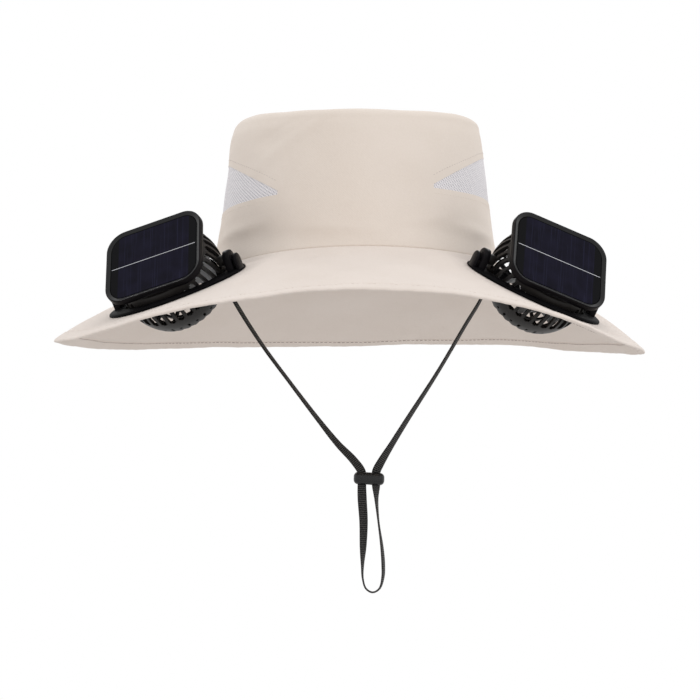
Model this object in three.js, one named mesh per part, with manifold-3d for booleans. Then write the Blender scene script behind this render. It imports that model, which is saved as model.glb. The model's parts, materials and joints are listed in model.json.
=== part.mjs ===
// Solar fan hat: a cloth hat with a wide brim, two tilting fans that each carry a solar panel, and a chin strap.
// Millimetres, +Z up along the crown, front towards -Y. The origin is the middle of the head opening.
import * as THREE from 'three';
import { mergeVertices } from 'three/addons/utils/BufferGeometryUtils.js';
import Module from 'manifold-3d';

const wasm = await Module();
wasm.setup();

// Clearance between pieces that touch on the real hat
const gap = 0.3;

// Head opening and crown
const headHalfWidth = 92;
const headHalfDepth = 98;
const crownHeight = 97;
// The crown's upper edge rises at the sides and sinks at the front and back
const crownSideRise = 5;
const crownFrontSag = 2.6;
const crownWall = 1.6;
const crownAngles = 36;
const seamMargin = 0.002;

// Crown from the seam to the middle of the top: shares of the height and of the head opening's half sizes
const crownRows = [
  { height: 0, side: 1, front: 1 },
  { height: 0.06, side: 0.998, front: 0.988 },
  { height: 0.205, side: 0.978, front: 0.965 },
  { height: 0.36, side: 0.955, front: 0.944 },
  { height: 0.61, side: 0.924, front: 0.91 },
  { height: 0.79, side: 0.901, front: 0.88 },
  { height: 0.865, side: 0.884, front: 0.862 },
  { height: 0.907, side: 0.873, front: 0.848 },
  { height: 0.934, side: 0.84, front: 0.81 },
  { height: 0.949, side: 0.775, front: 0.735 },
  { height: 0.966, side: 0.59, front: 0.56 },
  { height: 0.985, side: 0.3, front: 0.29 },
];

// Dents and soft corners: bearing in degrees round from the right side by way of the back, spread in degrees,
// height and rise as shares of the crown's height, depth as a share of the head opening's half width
const crownDents = [
  { bearing: 226, spread: 13, height: 0.14, rise: 0.12, depth: 0.042 },
  { bearing: 248, spread: 20, height: 0.08, rise: 0.07, depth: 0.01 },
  { bearing: 315, spread: 12, height: 0.13, rise: 0.12, depth: 0.036 },
  { bearing: 230, spread: 6, height: 0.74, rise: 0.06, depth: 0.012 },
  { bearing: 205, spread: 32, height: 0.94, rise: 0.07, depth: 0.035 },
  { bearing: 60, spread: 16, height: 0.2, rise: 0.16, depth: 0.02 },
  { bearing: 130, spread: 18, height: 0.14, rise: 0.12, depth: 0.02 },
];

// Brim: reach outwards from the seam in plan, drop of its edge, dip of the seam at the sides, and the short
// roll with which the cloth turns down from the seam
const brimReach = 100;
const brimDrop = 58;
const seamDip = 7;
const brimWall = 1.6;
const brimLap = 3;
const seamRoll = 3.5;
const rollLength = 9;
const hemWidth = 9;
const hemWall = 2.2;
const brimAngles = 48;
const brimRings = 3;

// Brim at every 30 degrees round from the right side by way of the back: shares of reach, drop, dip and roll,
// and bow, 0 for a straight fall and 1 for one that starts level
const brimRows = [
  { reach: 0.95, drop: 1, dip: 0.4, roll: 1.3, bow: 0.85 },
  { reach: 0.956, drop: 0.836, dip: 0.2, roll: 1, bow: 0.7 },
  { reach: 0.976, drop: 0.641, dip: 0.1, roll: 0.8, bow: 0.35 },
  { reach: 1, drop: 0.617, dip: 0, roll: 0.8, bow: 0.2 },
  { reach: 1.006, drop: 0.678, dip: 0.15, roll: 0.8, bow: 0.35 },
  { reach: 1.026, drop: 0.8, dip: 0.6, roll: 1, bow: 0.75 },
  { reach: 1.036, drop: 0.87, dip: 1, roll: 1, bow: 0.9 },
  { reach: 1.021, drop: 0.96, dip: 0.75, roll: 1.1, bow: 0.15 },
  { reach: 1.006, drop: 0.765, dip: 0.25, roll: 1, bow: 0 },
  { reach: 1, drop: 0.629, dip: 0, roll: 0.9, bow: 0.1 },
  { reach: 0.981, drop: 0.735, dip: 0.05, roll: 1.3, bow: 0 },
  { reach: 0.956, drop: 1.01, dip: 0.2, roll: 2.1, bow: 0.1 },
];

// Mesh windows in the crown's sides: heights above the seam, half angle round the side, bow of the upper edge
const windowSill = 38;
const windowHeight = 27;
const windowEndHeight = 2.5;
const windowReach = 56;
const windowBow = 1.7;
const windowLap = 3;
const meshGap = 0.8;
const meshWall = 1;
const windowColumns = 10;

// Fan base: an oval plate on the brim, its collar through the brim and the clamp below it
const baseHalfLength = 46;
const baseHalfWidth = 40;
const baseThickness = 2;
const collarWall = 2;
const clampWidth = 3;
const clampThickness = 1.4;
const flatMargin = 1.06;
const flatFade = 0.62;
const foldOut = 3;

// Fan ball, its pivot and its place: bearing from the side towards the front, turn of the pivot from straight across
const ballRadius = 33.5;
const boreGap = 0.2;
const ballWall = 2;
const pivotHeight = 9.4;
const fanBearing = 34.5;
const pivotTurn = 22;
const fanTilt = 41;
const pinRadius = 2.2;
const earHalfWidth = 5.5;
const earMargin = 0.1;
const guardShare = 0.78;

// Ears along the pivot: shares of the room between the ball and the plate's end
const earShares = { gap: 0.338, ear: 0.371, guardGap: 0.081, guard: 0.21 };

// Cage: latitudes in degrees above the ball's equator
const deckLatitude = 34.6;
const slotTop = 24;
const slotBottom = -6;
const mouthLatitude = -30;
const slotCount = 24;
const slotShare = 0.64;
const deckThickness = 2;
const bossRadius = 14;

// Solar panel
const frameLength = 66.5;
const frameDepth = 54.5;
const frameThickness = 5;
const frameCorner = 13;
const frameRise = 24.8;
const lipWidth = 3;
const recessDepth = 2.4;
const cellThickness = 1;

// Grille, motor and rotor
const grilleThickness = 2;
const grilleSlots = 10;
const grilleHub = 8;
const grilleRing = 3;
const grilleSpoke = 2.2;
const motorRadius = 9;
const motorLength = 7.2;
const shaftRadius = 1.5;
const hubRadius = 10;
const hubBottom = -9;
const hubGap = 0.5;
const boreFloor = 3;
const bladeCount = 7;
const bladeTip = 28;
const bladeHeight = 18;
const bladeThickness = 1.4;
const bladePitch = 38;

// Chin strap: flat tape on a route chosen by hand, x y z and its roll in degrees, 90 where its edge faces forward
const tapeWidth = 6.2;
const tapeThickness = 1.2;
const strapSteps = 60;
const strapRoute = [
  [-88.2, 0, 9, 90],
  [-88.2, 0, 0, 90],
  [-86.9, 0, -9, 82],
  [-78.7, 0, -24.5, 68],
  [-61.1, 0, -52.1, 70],
  [-42.3, 0, -77.5, 70],
  [-24.4, 0, -101, 62],
  [-11.7, 0, -116.7, 46],
  [-1.6, 0, -127.2, 32],
  [3.5, 0, -134.5, 25],
  [3.9, 0, -139.1, 25],
  [3.8, 0, -144, 24],
  [4, 0, -152, 16],
  [4.9, 0, -167.3, 28],
  [4.6, 0, -182.8, 44],
  [4.2, 0, -194, 74],
  [4.4, 0, -204, 88],
  [6.5, 0, -210.4, 90],
  [10.9, 0, -212.7, 90],
  [15.2, 0, -210.2, 94],
  [17.4, 0, -203, 104],
  [17.6, 0, -194, 108],
  [16.7, 0, -182.8, 104],
  [14.6, 0, -167.3, 94],
  [13.2, 0, -152, 112],
  [13, 0, -144, 148],
  [13, 0, -139.1, 155],
  [13.2, 0, -134.5, 155],
  [15.9, 0, -129, 148],
  [23.4, 0, -116.7, 128],
  [33.2, 0, -101, 118],
  [53.3, 0, -69.7, 108],
  [71.8, 0, -38.3, 107],
  [81.3, 0, -22.5, 104],
  [87.3, 0, -8, 95],
  [88.2, 0, 0, 90],
  [88.2, 0, 9, 90],
];

// Facets round the small turned and rounded shapes
const collarSides = 26;
const pinSides = 12;
const motorSides = 12;
const hubSides = 14;
const ovalSteps = 13;
const earSteps = 6;
const mouthSteps = 18;
const cornerSteps = 4;

// Strap toggle
const toggleLength = 20;
const toggleDepth = 9;
const toggleHeight = 8;
const toggleRound = 1.8;
const toggleCentre = [8.45, 0, -139.1];
const strandSpread = 4.55;
const strandRoll = 25;
const strandGap = 0.8;
const toggleLean = 3;

const boreRadius = ballRadius + boreGap;
const radians = THREE.MathUtils.degToRad;

// The geometry as a solid for cutting and joining
function solidFrom(geometry) {
  const loose = geometry.index ? geometry.toNonIndexed() : geometry;
  const bare = new THREE.BufferGeometry();
  bare.setAttribute('position', loose.getAttribute('position'));
  const merged = mergeVertices(bare, 1e-4);
  const mesh = new wasm.Mesh({
    numProp: 3,
    vertProperties: merged.attributes.position.array,
    triVerts: new Uint32Array(merged.index.array),
  });
  return new wasm.Manifold(mesh);
}

function geometryFrom(solid) {
  const { vertProperties, triVerts } = solid.getMesh();
  const geometry = new THREE.BufferGeometry();
  geometry.setAttribute('position', new THREE.BufferAttribute(vertProperties, 3));
  geometry.setIndex(new THREE.BufferAttribute(triVerts, 1));
  return geometry;
}

function cut(body, tools) {
  return tools.reduce((rest, tool) => rest.subtract(solidFrom(tool)), body);
}

function join(body, others) {
  return others.reduce((whole, other) => whole.add(solidFrom(other)), body);
}

// A skin over rings of points: each ring joins the next, and the ends close on two poles or on each other
function skin(rings, poles) {
  const count = rings[0].length;
  const points = rings.flat();
  const faces = [];
  const bands = poles ? rings.length - 1 : rings.length;
  for (let band = 0; band < bands; band += 1) {
    const upper = band * count;
    const lower = ((band + 1) % rings.length) * count;
    for (let i = 0; i < count; i += 1) {
      const j = (i + 1) % count;
      faces.push(upper + i, lower + i, upper + j, upper + j, lower + i, lower + j);
    }
  }
  if (poles) {
    const last = (rings.length - 1) * count;
    const pole = points.length;
    points.push(...poles);
    for (let i = 0; i < count; i += 1) {
      const j = (i + 1) % count;
      faces.push(pole, i, j, pole + 1, last + j, last + i);
    }
  }
  const geometry = new THREE.BufferGeometry().setFromPoints(points);
  geometry.setIndex(faces);
  return geometry;
}

// Unit normal of a surface at u, v from two small steps on it
function normalOf(surface, u, v) {
  const step = 1e-3;
  const alongU = surface(u + step, v).sub(surface(u - step, v));
  const alongV = surface(u, v + step).sub(surface(u, v - step));
  return alongU.cross(alongV).normalize();
}

function pushed(surface, u, v, distance) {
  return surface(u, v).addScaledVector(normalOf(surface, u, v), distance);
}

const brimCurve = new THREE.CatmullRomCurve3(
  brimRows.map((row) => new THREE.Vector3(row.reach, row.drop, row.dip)),
  true,
  'catmullrom',
  0.5,
);
const formCurve = new THREE.CatmullRomCurve3(
  brimRows.map((row) => new THREE.Vector3(row.bow, row.roll, 0)),
  true,
  'catmullrom',
  0.5,
);

// Reach, drop, dip, bow and roll at an angle round the hat
function brimAt(angle) {
  const turn = angle / (2 * Math.PI) - Math.floor(angle / (2 * Math.PI));
  const shares = brimCurve.getPoint(turn);
  const form = formCurve.getPoint(turn);
  return {
    reach: brimReach * shares.x,
    drop: brimDrop * shares.y,
    dip: seamDip * shares.z,
    bow: form.x,
    roll: seamRoll * form.y,
  };
}

// Middle surface of the brim before the fans press it flat: angle round the hat, distance out from the seam
function looseBrim(angle, out) {
  const { reach, drop, dip, bow, roll } = brimAt(angle);
  const beyond = Math.max(out, 0);
  const share = beyond / reach;
  const fall = (1 - bow) * share + bow * share * share;
  const rolled = roll * (1 - Math.exp(-beyond / rollLength));
  return new THREE.Vector3(
    (headHalfWidth + out) * Math.cos(angle),
    (headHalfDepth + out) * Math.sin(angle),
    -dip - rolled - (drop - dip - roll) * fall,
  );
}

// The seat of each fan: the plane through four points of the brim round the fan's opening
function fanSeat(side) {
  const bearing = side.angle;
  const out = baseHalfWidth + side.toCrown;
  const span = ballRadius;
  const turn = span / (headHalfDepth + out);
  const outer = looseBrim(bearing, out + span);
  const inner = looseBrim(bearing, out - span);
  const ahead = looseBrim(bearing + turn, out);
  const behind = looseBrim(bearing - turn, out);
  const middle = outer.clone().add(inner).add(ahead).add(behind).multiplyScalar(0.25);
  const up = outer.sub(inner).cross(ahead.sub(behind)).normalize();
  const turnAngle = radians(pivotTurn) * side.sign;
  const along = new THREE.Vector3(Math.cos(turnAngle), Math.sin(turnAngle), 0);
  along.z = -(up.x * along.x + up.y * along.y) / up.z;
  along.normalize();
  const back = up.clone().cross(along);
  return { middle, along, back, up };
}

// The two sides: the base's gap to the crown, and how far the mesh window sits above or below the other
const sides = [
  { name: 'left', sign: -1, angle: Math.PI + radians(fanBearing), toCrown: 4, windowRise: -1.5 },
  { name: 'right', sign: 1, angle: -radians(fanBearing), toCrown: 2.6, windowRise: 2 },
];
const seats = sides.map(fanSeat);

// Middle surface of the brim, pressed flat under the two fan bases
function brimSurface(angle, out) {
  const point = looseBrim(angle, out);
  const nearSeam = THREE.MathUtils.smoothstep(out, 0, foldOut);
  seats.forEach(({ middle, along, back, up }) => {
    const offset = point.clone().sub(middle);
    const oval = Math.hypot(offset.dot(along) / baseHalfLength, offset.dot(back) / baseHalfWidth);
    const weight = 1 - THREE.MathUtils.smoothstep(oval, flatMargin, flatMargin + flatFade);
    const plane = middle.z - (offset.x * up.x + offset.y * up.y) / up.z;
    point.z += (plane - point.z) * weight * nearSeam;
  });
  return point;
}

// Stations across the brim, inwards to outwards, with the wall at each
function brimStations(angle) {
  const { reach } = brimAt(angle);
  const stations = [{ out: -brimLap, wall: brimWall }];
  const hemStart = reach - hemWidth;
  stations.push({ out: 0, wall: brimWall });
  for (let ring = 0; ring <= brimRings; ring += 1) {
    stations.push({ out: foldOut + ((hemStart - foldOut) * ring) / brimRings, wall: brimWall });
  }
  stations.push({ out: hemStart + (hemWall - brimWall), wall: hemWall });
  stations.push({ out: reach, wall: hemWall });
  return stations;
}

function ringAngles(count) {
  return Array.from({ length: count }, (_, i) => (2 * Math.PI * i) / count);
}

// An oval plate round Z
function ovalPlate(halfLength, halfWidth, floor, thickness) {
  const oval = new THREE.Shape();
  oval.absellipse(0, 0, halfLength, halfWidth, 0, 2 * Math.PI, false, 0);
  const plate = new THREE.ExtrudeGeometry(oval, {
    depth: thickness,
    bevelEnabled: false,
    curveSegments: ovalSteps,
  });
  return plate.translate(0, 0, floor);
}

// What a fan takes out of the brim: the opening through it, and room for the plate above and the clamp below
function brimCuts(seat) {
  const place = new THREE.Matrix4().makeBasis(seat.along, seat.back, seat.up).setPosition(seat.middle);
  const collar = boreRadius + collarWall + gap;
  const clamp = boreRadius + collarWall + clampWidth + gap;
  const room = 4 * brimWall;
  const clear = (brimWall + gap) / 2;
  return [
    ovalPlate(collar, collar, -room, 2 * room),
    ovalPlate(baseHalfLength + gap, baseHalfWidth + gap, clear, room),
    ovalPlate(clamp, clamp, -clear - room, room),
  ].map((cutter) => cutter.applyMatrix4(place));
}

function brimGeometry() {
  const angles = ringAngles(brimAngles);
  const count = brimStations(0).length;
  const ringAt = (station, face) =>
    angles.map((angle) => {
      const { out, wall } = brimStations(angle)[station];
      return pushed(brimSurface, angle, out, (-face * wall) / 2);
    });
  const rings = [];
  for (let station = 0; station < count; station += 1) rings.push(ringAt(station, 1));
  for (let station = count - 1; station >= 0; station -= 1) rings.push(ringAt(station, -1));
  return geometryFrom(cut(solidFrom(skin(rings)), seats.flatMap(brimCuts)));
}

const crownCurve = new THREE.CatmullRomCurve3(
  crownRows.map((row) => new THREE.Vector3(row.side, row.front, row.height)),
  false,
  'catmullrom',
  0.5,
);

// How far the dents press the crown in, as a share of the head opening's half width
function dentAt(angle, height) {
  return crownDents.reduce((sum, dent) => {
    const away = Math.atan2(Math.sin(angle - radians(dent.bearing)), Math.cos(angle - radians(dent.bearing)));
    const across = away / radians(dent.spread);
    const rise = (height - dent.height) / dent.rise;
    return sum + dent.depth * Math.exp(-across * across - rise * rise);
  }, 0);
}

// Outer surface of the crown: angle round the hat, share of the way from the seam to the top
function crownSurface(angle, share) {
  const row = crownCurve.getPoint(THREE.MathUtils.clamp(share, 0, 1));
  const size = 1 - dentAt(angle, row.z);
  const foot = brimWall / 2 + gap - brimAt(angle).dip;
  const saddle = crownSideRise * Math.cos(angle) ** 2 - crownFrontSag * Math.sin(angle) ** 2;
  return new THREE.Vector3(
    headHalfWidth * row.x * size * Math.cos(angle),
    headHalfDepth * row.y * size * Math.sin(angle),
    crownHeight * row.z + foot * (1 - row.z) + saddle * row.x ** 2 * row.z ** 4,
  );
}

// Share of the way up at which the crown's wall is at a height, by halving
function shareAtHeight(height) {
  let low = 0;
  let high = 1;
  for (let turn = 0; turn < 24; turn += 1) {
    const middle = (low + high) / 2;
    if (crownCurve.getPoint(middle).z * crownHeight < height) low = middle;
    else high = middle;
  }
  return low;
}

// A curved panel that follows the crown's side over a window: margin round it, and depths below the outer face
function windowPatch(side, margin, nearDepth, farDepth) {
  const centre = side.sign < 0 ? Math.PI : 0;
  const spread = radians(windowReach) + margin / headHalfWidth;
  const rows = [0, 1 / 3, 2 / 3, 1];
  const rings = [];
  for (let column = 0; column <= windowColumns; column += 1) {
    const across = (2 * column) / windowColumns - 1;
    const angle = centre + across * spread;
    const sill = windowSill + side.windowRise - margin;
    const arch = windowHeight * (1 - Math.abs(across) ** windowBow);
    const tall = windowEndHeight + arch + 2 * margin;
    const shares = rows.map((row) => shareAtHeight(sill + row * tall));
    const near = shares.map((share) => pushed(crownSurface, angle, share, -nearDepth));
    const far = shares.map((share) => pushed(crownSurface, angle, share, -farDepth));
    rings.push([...near, ...far.reverse()]);
  }
  const middleOf = (ring) =>
    ring.reduce((sum, point) => sum.add(point), new THREE.Vector3()).divideScalar(ring.length);
  return skin(rings, [middleOf(rings[0]), middleOf(rings[rings.length - 1])]);
}

function crownGeometry() {
  const angles = ringAngles(crownAngles);
  const shares = crownRows.map((_, i) => i / (crownRows.length - 1));
  const outer = shares.map((share) => angles.map((angle) => crownSurface(angle, share)));
  const inner = shares.map((share) =>
    angles.map((angle) => pushed(crownSurface, angle, Math.max(share, seamMargin), -crownWall)),
  );
  inner[0].forEach((point, i) => point.setZ(outer[0][i].z));
  const top = new THREE.Vector3(0, 0, crownHeight);
  const under = new THREE.Vector3(0, 0, crownHeight - crownWall);
  const body = solidFrom(skin([...outer.reverse(), ...inner], [top, under]));
  const openings = sides.map((side) => windowPatch(side, 0, -3 * crownWall, 3 * crownWall));
  return geometryFrom(cut(body, openings));
}

// A ring or disc turned round Z from a section of radius and height pairs
function turned(section, segments) {
  const points = section.map(([radius, height]) => new THREE.Vector2(radius, height));
  return new THREE.LatheGeometry(points, segments).rotateX(Math.PI / 2);
}

function rod(radius, from, to, segments) {
  return turned([[0, from], [radius, from], [radius, to], [0, to]], segments);
}

// A block with a flat foot and a round top at the pivot, from x = near to x = far
function ear(near, far, halfWidth, height) {
  const outline = new THREE.Shape();
  outline.moveTo(-halfWidth, baseThickness / 2);
  outline.lineTo(halfWidth, baseThickness / 2);
  outline.lineTo(halfWidth, height);
  outline.absarc(0, height, halfWidth, 0, Math.PI, false);
  const block = new THREE.ExtrudeGeometry(outline, {
    depth: Math.abs(far - near),
    bevelEnabled: false,
    curveSegments: earSteps,
  });
  const turn = new THREE.Matrix4().makeBasis(
    new THREE.Vector3(0, 1, 0),
    new THREE.Vector3(0, 0, 1),
    new THREE.Vector3(1, 0, 0),
  );
  return block.applyMatrix4(turn).translate(Math.min(near, far), 0, 0);
}

const earRoom = baseHalfLength - earMargin - ballRadius;
const earStart = ballRadius + earShares.gap * earRoom;
const earEnd = earStart + earShares.ear * earRoom;
const guardStart = earEnd + earShares.guardGap * earRoom;
const guardEnd = guardStart + earShares.guard * earRoom;

// Base in its own frame: X along the pivot, Z up from the brim's top face; inward is the crown's side on X
function baseGeometry(inward) {
  const plate = ovalPlate(baseHalfLength, baseHalfWidth, gap, baseThickness);
  const top = gap + baseThickness;
  const clampTop = -brimWall - gap;
  const collarRadius = boreRadius + collarWall;
  const sleeve = turned(
    [
      [boreRadius, clampTop - clampThickness],
      [collarRadius + clampWidth, clampTop - clampThickness],
      [collarRadius + clampWidth, clampTop],
      [collarRadius, clampTop],
      [collarRadius, top],
      [boreRadius, top],
      [boreRadius, clampTop - clampThickness],
    ],
    collarSides,
  );
  const opening = rod(boreRadius, -baseThickness, 3 * baseThickness, collarSides);
  const guard = ear(
    inward * guardStart,
    inward * guardEnd,
    earHalfWidth * guardShare,
    pivotHeight * guardShare,
  );
  const ears = [
    ear(earStart, earEnd, earHalfWidth, pivotHeight),
    ear(-earEnd, -earStart, earHalfWidth, pivotHeight),
    guard,
  ];
  const pivotHole = rod(pinRadius + gap, -earEnd - 1, earEnd + 1, pinSides);
  pivotHole.rotateY(Math.PI / 2).translate(0, 0, pivotHeight);
  const body = join(cut(solidFrom(plate), [opening]), [sleeve, ...ears]);
  return geometryFrom(cut(body, [pivotHole]));
}

// Radius and height on a ball at a latitude in degrees
function ballPoint(radius, latitude) {
  return [radius * Math.cos(radians(latitude)), radius * Math.sin(radians(latitude))];
}

const deckTop = ballRadius * Math.sin(radians(deckLatitude));
const deckUnder = deckTop - deckThickness;
const innerRadius = ballRadius - ballWall;
const mouthHeight = ballRadius * Math.sin(radians(mouthLatitude));
const frameBack = frameRise - frameThickness;

// Cage in the tilting frame: Z along the air flow's axis towards the panel, origin at the ball's centre
function housingGeometry() {
  const low = ballRadius * Math.sin(radians(slotBottom));
  const high = ballRadius * Math.sin(radians(slotTop));
  const innerAt = (height) => [Math.sqrt(innerRadius ** 2 - height ** 2), height];
  const innerWall = [deckUnder, high, low, mouthHeight].map(innerAt);
  const latitudes = [mouthLatitude, slotBottom, slotTop, deckLatitude];
  const section = [
    [0, deckUnder],
    ...innerWall,
    ...latitudes.map((latitude) => ballPoint(ballRadius, latitude)),
    [bossRadius, deckTop],
    [bossRadius, frameBack - gap],
    [0, frameBack - gap],
  ];
  const shell = turned(section, slotCount);
  const pitch = (2 * Math.PI * innerRadius) / slotCount;
  const slots = Array.from({ length: slotCount }, (_, i) => {
    const slot = new THREE.BoxGeometry(5 * ballWall, pitch * slotShare, high - low - gap);
    slot.translate(ballRadius - ballWall, 0, (low + high) / 2);
    return slot.rotateZ((2 * Math.PI * (i + 0.5)) / slotCount);
  });
  const pinReach = ballRadius - ballWall / 2;
  const pins = [
    rod(pinRadius, pinReach, earEnd - gap, pinSides).rotateY(Math.PI / 2),
    rod(pinRadius, -earEnd + gap, -pinReach, pinSides).rotateY(Math.PI / 2),
  ];
  return geometryFrom(join(cut(solidFrom(shell), slots), pins));
}

// Flat grille in the mouth: a ring, a hub and spokes
function grilleGeometry() {
  const inner = Math.sqrt(innerRadius ** 2 - mouthHeight ** 2) - gap;
  const disc = new THREE.Shape();
  disc.absarc(0, 0, inner, 0, 2 * Math.PI, false);
  for (let i = 0; i < grilleSlots; i += 1) {
    const middle = (2 * Math.PI * i) / grilleSlots;
    const far = inner - grilleRing;
    const halfFar = Math.PI / grilleSlots - grilleSpoke / 2 / far;
    const halfNear = Math.PI / grilleSlots - grilleSpoke / 2 / grilleHub;
    const slot = new THREE.Path();
    slot.moveTo(grilleHub * Math.cos(middle - halfNear), grilleHub * Math.sin(middle - halfNear));
    slot.lineTo(grilleHub * Math.cos(middle + halfNear), grilleHub * Math.sin(middle + halfNear));
    slot.lineTo(far * Math.cos(middle + halfFar), far * Math.sin(middle + halfFar));
    slot.lineTo(far * Math.cos(middle - halfFar), far * Math.sin(middle - halfFar));
    disc.holes.push(slot);
  }
  return new THREE.ExtrudeGeometry(disc, {
    depth: grilleThickness,
    bevelEnabled: false,
    curveSegments: mouthSteps,
  }).translate(0, 0, mouthHeight);
}

const motorTop = deckUnder - gap;
const motorBottom = motorTop - motorLength;
const hubTop = motorBottom - hubGap;
const shaftEnd = hubBottom + boreFloor + gap;

function motorGeometry() {
  return turned(
    [
      [0, shaftEnd],
      [shaftRadius, shaftEnd],
      [shaftRadius, motorBottom],
      [motorRadius, motorBottom],
      [motorRadius, motorTop],
      [0, motorTop],
    ],
    motorSides,
  );
}

function rotorGeometry() {
  const hub = turned(
    [
      [0, hubBottom],
      [hubRadius, hubBottom],
      [hubRadius, hubTop],
      [shaftRadius + gap, hubTop],
      [shaftRadius + gap, hubBottom + boreFloor],
      [0, hubBottom + boreFloor],
    ],
    hubSides,
  );
  const length = bladeTip - hubRadius + 1;
  const blades = Array.from({ length: bladeCount }, (_, i) => {
    const blade = new THREE.BoxGeometry(length, bladeThickness, bladeHeight);
    blade.rotateX(radians(bladePitch));
    blade.translate(hubRadius - 1 + length / 2, 0, (hubTop + hubBottom) / 2);
    return blade.rotateZ((2 * Math.PI * i) / bladeCount);
  });
  return geometryFrom(join(solidFrom(hub), blades));
}

function roundedPlate(length, depth, corner, thickness, floor) {
  const x = length / 2 - corner;
  const y = depth / 2 - corner;
  const outline = new THREE.Shape();
  outline.absarc(x, y, corner, 0, Math.PI / 2, false);
  outline.absarc(-x, y, corner, Math.PI / 2, Math.PI, false);
  outline.absarc(-x, -y, corner, Math.PI, 1.5 * Math.PI, false);
  outline.absarc(x, -y, corner, 1.5 * Math.PI, 2 * Math.PI, false);
  const plate = new THREE.ExtrudeGeometry(outline, { depth: thickness, bevelEnabled: false, curveSegments: cornerSteps });
  return plate.translate(0, 0, floor);
}

function frameGeometry() {
  const body = roundedPlate(frameLength, frameDepth, frameCorner, frameThickness, frameBack);
  const recess = roundedPlate(
    frameLength - 2 * lipWidth,
    frameDepth - 2 * lipWidth,
    frameCorner - lipWidth,
    recessDepth + 1,
    frameRise - recessDepth,
  );
  return geometryFrom(cut(solidFrom(body), [recess]));
}

function cellGeometry() {
  const inset = 2 * (lipWidth + gap);
  return roundedPlate(
    frameLength - inset,
    frameDepth - inset,
    frameCorner - lipWidth - gap,
    cellThickness,
    frameRise - recessDepth + gap,
  );
}

// The strap's middle line, with frames that turn the flat tape by the roll of the route
class StrapCurve extends THREE.CatmullRomCurve3 {
  constructor(route) {
    super(route.map(([x, y, z]) => new THREE.Vector3(x, y, z)));
    this.rolls = new THREE.CatmullRomCurve3(route.map((stop) => new THREE.Vector3(stop[3], 0, 0)));
    this.rolls.curveType = 'catmullrom';
  }

  computeFrenetFrames(segments) {
    const tangents = [];
    const normals = [];
    const binormals = [];
    for (let i = 0; i <= segments; i += 1) {
      const tangent = this.getTangentAt(i / segments);
      const inPlane = new THREE.Vector3(-tangent.z, 0, tangent.x).normalize();
      const across = inPlane.clone().cross(tangent).normalize();
      const stop = this.getUtoTmapping(i / segments);
      const roll = radians(this.rolls.getPoint(stop).x);
      const width = inPlane.multiplyScalar(Math.cos(roll)).addScaledVector(across, Math.sin(roll));
      tangents.push(tangent);
      normals.push(width);
      binormals.push(tangent.clone().cross(width).normalize());
    }
    return { tangents, normals, binormals };
  }
}

function strapGeometry() {
  const w = tapeWidth / 2;
  const t = tapeThickness / 2;
  const corners = [[w, 0], [w - t, t], [t - w, t], [-w, 0], [t - w, -t], [w - t, -t]];
  const tape = new THREE.Shape(corners.map(([x, y]) => new THREE.Vector2(x, y)));
  const route = new StrapCurve(strapRoute);
  return new THREE.ExtrudeGeometry(tape, { steps: strapSteps, extrudePath: route, bevelEnabled: false });
}

function toggleGeometry() {
  const long = toggleLength / 2 - toggleDepth / 2;
  const radius = toggleDepth / 2 - toggleRound;
  const outline = new THREE.Shape();
  outline.absarc(long, 0, radius, -Math.PI / 2, Math.PI / 2, false);
  outline.absarc(-long, 0, radius, Math.PI / 2, 1.5 * Math.PI, false);
  const bead = new THREE.ExtrudeGeometry(outline, {
    depth: toggleHeight - 2 * toggleRound,
    bevelSize: toggleRound,
    bevelThickness: toggleRound,
    bevelSegments: 2,
    curveSegments: cornerSteps,
  });
  bead.translate(0, 0, toggleRound - toggleHeight / 2).rotateY(radians(toggleLean));
  const slots = [-1, 1].map((hand) => {
    const slot = new THREE.BoxGeometry(
      tapeWidth + 2 * strandGap,
      tapeThickness + 2 * strandGap,
      2 * toggleHeight,
    );
    return slot.rotateZ(radians(strandRoll)).translate(hand * strandSpread, 0, 0);
  });
  return geometryFrom(cut(solidFrom(bead), slots));
}

const materials = {
  cloth: { color: 0xe2d5cb, roughness: 0.9, metalness: 0 },
  mesh: { color: 0xe1dee2, roughness: 0.85, metalness: 0 },
  black: { color: 0x1c1b1e, roughness: 0.4, metalness: 0 },
  grey: { color: 0x828284, roughness: 0.5, metalness: 0 },
  cell: { color: 0x1e1c2a, roughness: 0.2, metalness: 0.1 },
  steel: { color: 0x9a9a9c, roughness: 0.35, metalness: 0.9 },
  tape: { color: 0x232324, roughness: 0.85, metalness: 0 },
};

function piece(name, geometry, material) {
  const mesh = new THREE.Mesh(geometry, new THREE.MeshStandardMaterial(materials[material]));
  mesh.name = name;
  return mesh;
}

// One fan on its seat: the base stays on the brim, and the tilting group carries the ball and the panel
function fan(side, seat) {
  const group = new THREE.Group();
  const inward = -side.sign;
  const turn = new THREE.Matrix4().makeBasis(seat.along, seat.back, seat.up);
  group.setRotationFromMatrix(turn);
  group.position.copy(seat.middle).addScaledVector(seat.up, brimWall / 2);
  group.add(piece(`${side.name}_fan_base`, baseGeometry(inward), 'black'));
  const tilting = new THREE.Group();
  tilting.position.z = pivotHeight;
  tilting.rotation.x = radians(fanTilt);
  tilting.add(
    piece(`${side.name}_fan_housing`, housingGeometry(), 'black'),
    piece(`${side.name}_fan_grille`, grilleGeometry(), 'black'),
    piece(`${side.name}_fan_motor`, motorGeometry(), 'steel'),
    piece(`${side.name}_fan_rotor`, rotorGeometry(), 'grey'),
    piece(`${side.name}_solar_frame`, frameGeometry(), 'black'),
    piece(`${side.name}_solar_cell`, cellGeometry(), 'cell'),
  );
  group.add(tilting);
  return group;
}

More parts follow.
